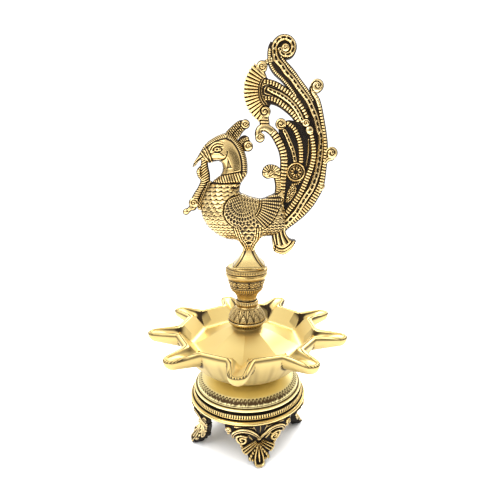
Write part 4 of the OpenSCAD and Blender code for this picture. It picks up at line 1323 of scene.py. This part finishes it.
def make_foot(name, node, heading, toe_in, patina_and_shade):
    """A cast foot: two leaf arms that part over a scroll each, flutes with pearls between, a round toe."""
    bend_radius, sunk = 49.4, 2.1
    r = Relief((-29, 29), (0, 40), 0.25)
    half = curve([(27.6, 39.9), (27.2, 35.5), (25.6, 30.6), (23.6, 26.2), (20.6, 21.8), (17.8, 17.8),
        (15.4, 13.8), (12.8, 11), (10.6, 9.4), (9.6, 7.2), (8, 6), (6.2, 5.2), (4.7, 4.2), (4.2, 2.4),
        (3, 0.8), (1.6, 0.1), (0.2, 0)])
    r.fill(joined(half, half[::-1] * [-1, 1]), 0.0, 1.0, 0.6)
    for side in (1, -1):
        flip = np.array([side, 1.0])
        r.band(curve([(0.2, 25.6), (3.0, 30.6), (7.4, 35.2), (12.4, 36.7), (17.6, 35.6), (21.2, 31.8),
            (22.4, 27.2)]) * flip, [2.2, 3.4, 4.0, 4.0, 3.8, 3.4, 2.2], 2.4, rails(0.9), crown=0.15)
        r.band(joined(curve([(11.0, 28.4), (15.4, 30.4), (19.2, 28)]) * flip,
            scroll(np.array((15.0, 24.4)) * flip, np.array((19.4, 26.8)) * flip, -1.3 * side, 1.3)),
            [1.4, 2.2, 2.3, 2.3, 2.2, 2.0, 1.8], 2.4, round_edge=1.0)
        r.band(curve([(6.2, 24.2), (8.4, 27.4), (9.4, 30.8)]) * flip, [0.9, 1.3, 0.8], 1.3)
        r.band(curve([(5.6, 37.9), (12, 39.2), (20, 38.6)]) * flip, [0.6, 1.0, 0.8], 1.0)
        r.knob(np.array((24.6, 35.6)) * flip, 2.2, 2.4, curl=side)
        r.knob(np.array((25.2, 31.2)) * flip, 1.1, 1.8)
        # The side flute is three ridges that widen to a round end on the foot's edge
        for a, b, c in (((3.2, 22.9), (9.2, 18.9), (15.2, 14.9)), ((2.4, 21.3), (8.2, 17.0), (13.8, 12.9)),
                ((1.6, 19.7), (6.8, 15.0), (11.6, 11.2))):
            r.band(curve([a, b, c]) * flip, [0.9, 1.4, 1.7], 2.1, round_edge=0.9)
        r.band(curve([(15.6, 15.2), (14.9, 13.2), (13.2, 11.7), (11.6, 11)]) * flip, 1.4, 2.0)
        for u, v, size in ((16.4, 18.4, 1.0), (15.4, 17.1, 0.8), (2.3, 16.4, 0.8), (3.9, 13.8, 1.1),
                (5.6, 11.6, 1.2), (7.2, 9.5, 1.2), (8.5, 7.4, 1.4), (6.1, 6.5, 0.9)):
            r.knob(np.array((u, v)) * flip, size, 2.1)
        r.band(curve([(0.5, 20), (1.9, 14.6), (3.3, 9.8), (3.9, 6.6), (3.5, 4.4)]) * flip,
            [1.0, 1.3, 1.6, 1.8, 1.8], 2.3, round_edge=0.9)
    r.band([(0, 17), (0, 12), (0, 8.4), (0, 5.4)], [0.8, 1.5, 2.2, 1.6], 2.4, round_edge=0.9)
    r.knob((0, 25.4), 2.0, 2.7)
    r.band([(-3.8, 4.2), (-2.4, 2.5), (0, 1.9), (2.4, 2.5), (3.8, 4.2)], [1.8, 2.8, 3.2, 2.8, 1.8], 2.5,
        round_edge=1.2)
    for u in (-5.4, 0, 5.4):
        r.band([(u, 38.8), (0.6 * u, 35), (0.2 * u, 31)], [1.0, 0.8, 0.5], 0.7)
    # Patina over the whole foot; on the side and rear feet the extra darkness is painted shade
    r.stain += patina_and_shade
    face, rear = foot_profile(toe_in)

    def place(radius, u, v):
        turn = heading + np.arcsin(np.clip(u / bend_radius, -1, 1))
        return np.stack([radius * np.cos(turn), radius * np.sin(turn), v], 1)

    def front(u, v, h):
        return place(np.interp(v, *face.T) - sunk + h, u, v)

    def back(u, v, _):
        return place(np.interp(v, *rear.T), u, v)
    piece = plate(name, r, front, back, gain=1.3)
    finish_piece(piece, "base", FOOT_BRASS, "antique_brass", node)


def keep_plain_nodes():
    """The studs and screws are plain turned steel, so their CAD solids are shown as they are."""
    for node in ("leg_screws", "dish_stud", "stem_stud", "peacock_stud"):
        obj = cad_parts[node]
        obj.data.materials.clear()
        obj.data.materials.append(STEEL)


# ---- camera, light and floor ----

camera = bpy.data.objects.new("camera", bpy.data.cameras.new("camera"))
camera.data.lens = 27.78
camera.data.sensor_width = 36
camera.location = (0.003, -0.30406, 0.23175)
camera.rotation_euler = (TAU / 4 - 0.2132, 0.008, -0.0016)
camera.data.clip_start = 0.01
bpy.context.scene.collection.objects.link(camera)
bpy.context.scene.camera = camera


def lamp(name, place, target, size, power):
    """A soft rectangular studio light."""
    light = bpy.data.lights.new(name, "AREA")
    light.shape = "RECTANGLE"
    light.size, light.size_y = size
    light.energy = power
    obj = bpy.data.objects.new(name, light)
    obj.location = place
    aim = np.array(target) - np.array(place)
    lift = math.atan2(aim[2], np.hypot(aim[0], aim[1]))
    obj.rotation_euler = (TAU / 4 + lift, 0, math.atan2(aim[1], aim[0]) - TAU / 4)
    bpy.context.scene.collection.objects.link(obj)
    return obj


lamp("key_light", (-0.55, -0.75, 0.95), (0, 0, 0.15), (0.8, 0.8), 5)
lamp("back_light", (0.2, 0.9, 0.8), (0, 0, 0.18), (0.8, 0.4), 5)
floor_light = lamp("floor_light", (0.0, 0.0, 1.6), (0, 0.01, 0.0), (2.4, 2.4), 60)
floor_light.visible_glossy = False


def studio(dark_spots):
    """A white room with a few soft dark places in it, each a direction, a width and a depth."""
    room = bpy.data.worlds.new("studio")
    room.use_nodes = True
    add, maths = adder(room.node_tree)
    direction = add("TexCoord").outputs["Generated"]
    value = 1.0
    for towards, wide, depth in dark_spots:
        dot = add("VectorMath", i0=direction, i1=tuple(np.array(towards) / np.linalg.norm(towards)))
        dot.operation = "DOT_PRODUCT"
        spot = add("MapRange", i0=dot.outputs["Value"], i1=math.cos(math.radians(wide)),
            i2=math.cos(math.radians(wide * 0.6)), i3=1, i4=1 - depth)
        spot.interpolation_type = "SMOOTHSTEP"
        value = maths("MULTIPLY", value, spot.outputs[0])
    # The dark places are only for the metal to mirror: behind the lamp the room stays white
    value = maths("MAXIMUM", value, add("LightPath").outputs["Is Camera Ray"])
    background = room.node_tree.nodes["Background"]
    background.inputs["Color"].default_value = (1, 1, 1, 1)
    room.node_tree.links.new(value, background.inputs["Strength"])
    return room


bpy.context.scene.world = studio([((0.45, -1, 0.05), 30, 0.85), ((-1, -0.35, 0.1), 24, 0.7),
    ((1, 0.1, 0.15), 22, 0.8), ((-0.25, -1, -0.35), 16, 0.6)])
bpy.context.scene.view_settings.view_transform = "Standard"
bpy.context.scene.view_settings.look = "Medium High Contrast"

half_floor = 900
corners = [(x * half_floor, y * half_floor, 0) for x, y in ((-1, -1), (1, -1), (1, 1), (-1, 1))]
floor = mesh("floor", corners, [np.array([[0, 1, 2, 3]])], np.zeros(4), 0)
paper = bpy.data.materials.new("paper")
paper.use_nodes = True
paper_shader = paper.node_tree.nodes["Principled BSDF"]
paper_shader.inputs["Base Color"].default_value = (0.94, 0.94, 0.94, 1)
paper_shader.inputs["Roughness"].default_value = 0.6
floor.data.materials.append(paper)

make_base_ring()
make_dome()
# The side and rear feet are painted darker than the front one, as shade
for where, turned_to, toe_in, patina_and_shade in (("front", -78, 4.6, 0.4), ("right", 15, 0, 0.8),
        ("rear", 102, 0, 0.8), ("left", 195, 0, 0.8)):
    make_foot("foot_" + where, "leg_" + where, math.radians(turned_to), toe_in, patina_and_shade)
make_dish()
make_bulb()
make_collar()
make_urn()
make_pyramid()
keep_plain_nodes()
make_bird()
for make in (make_crest, make_garland, make_main_plume, make_outer_plume, make_ribbed_plume,
        make_inner_plume, make_tail_hook, make_tail_web, make_eye_feather, make_fan_shell, make_under_tail):
    make()
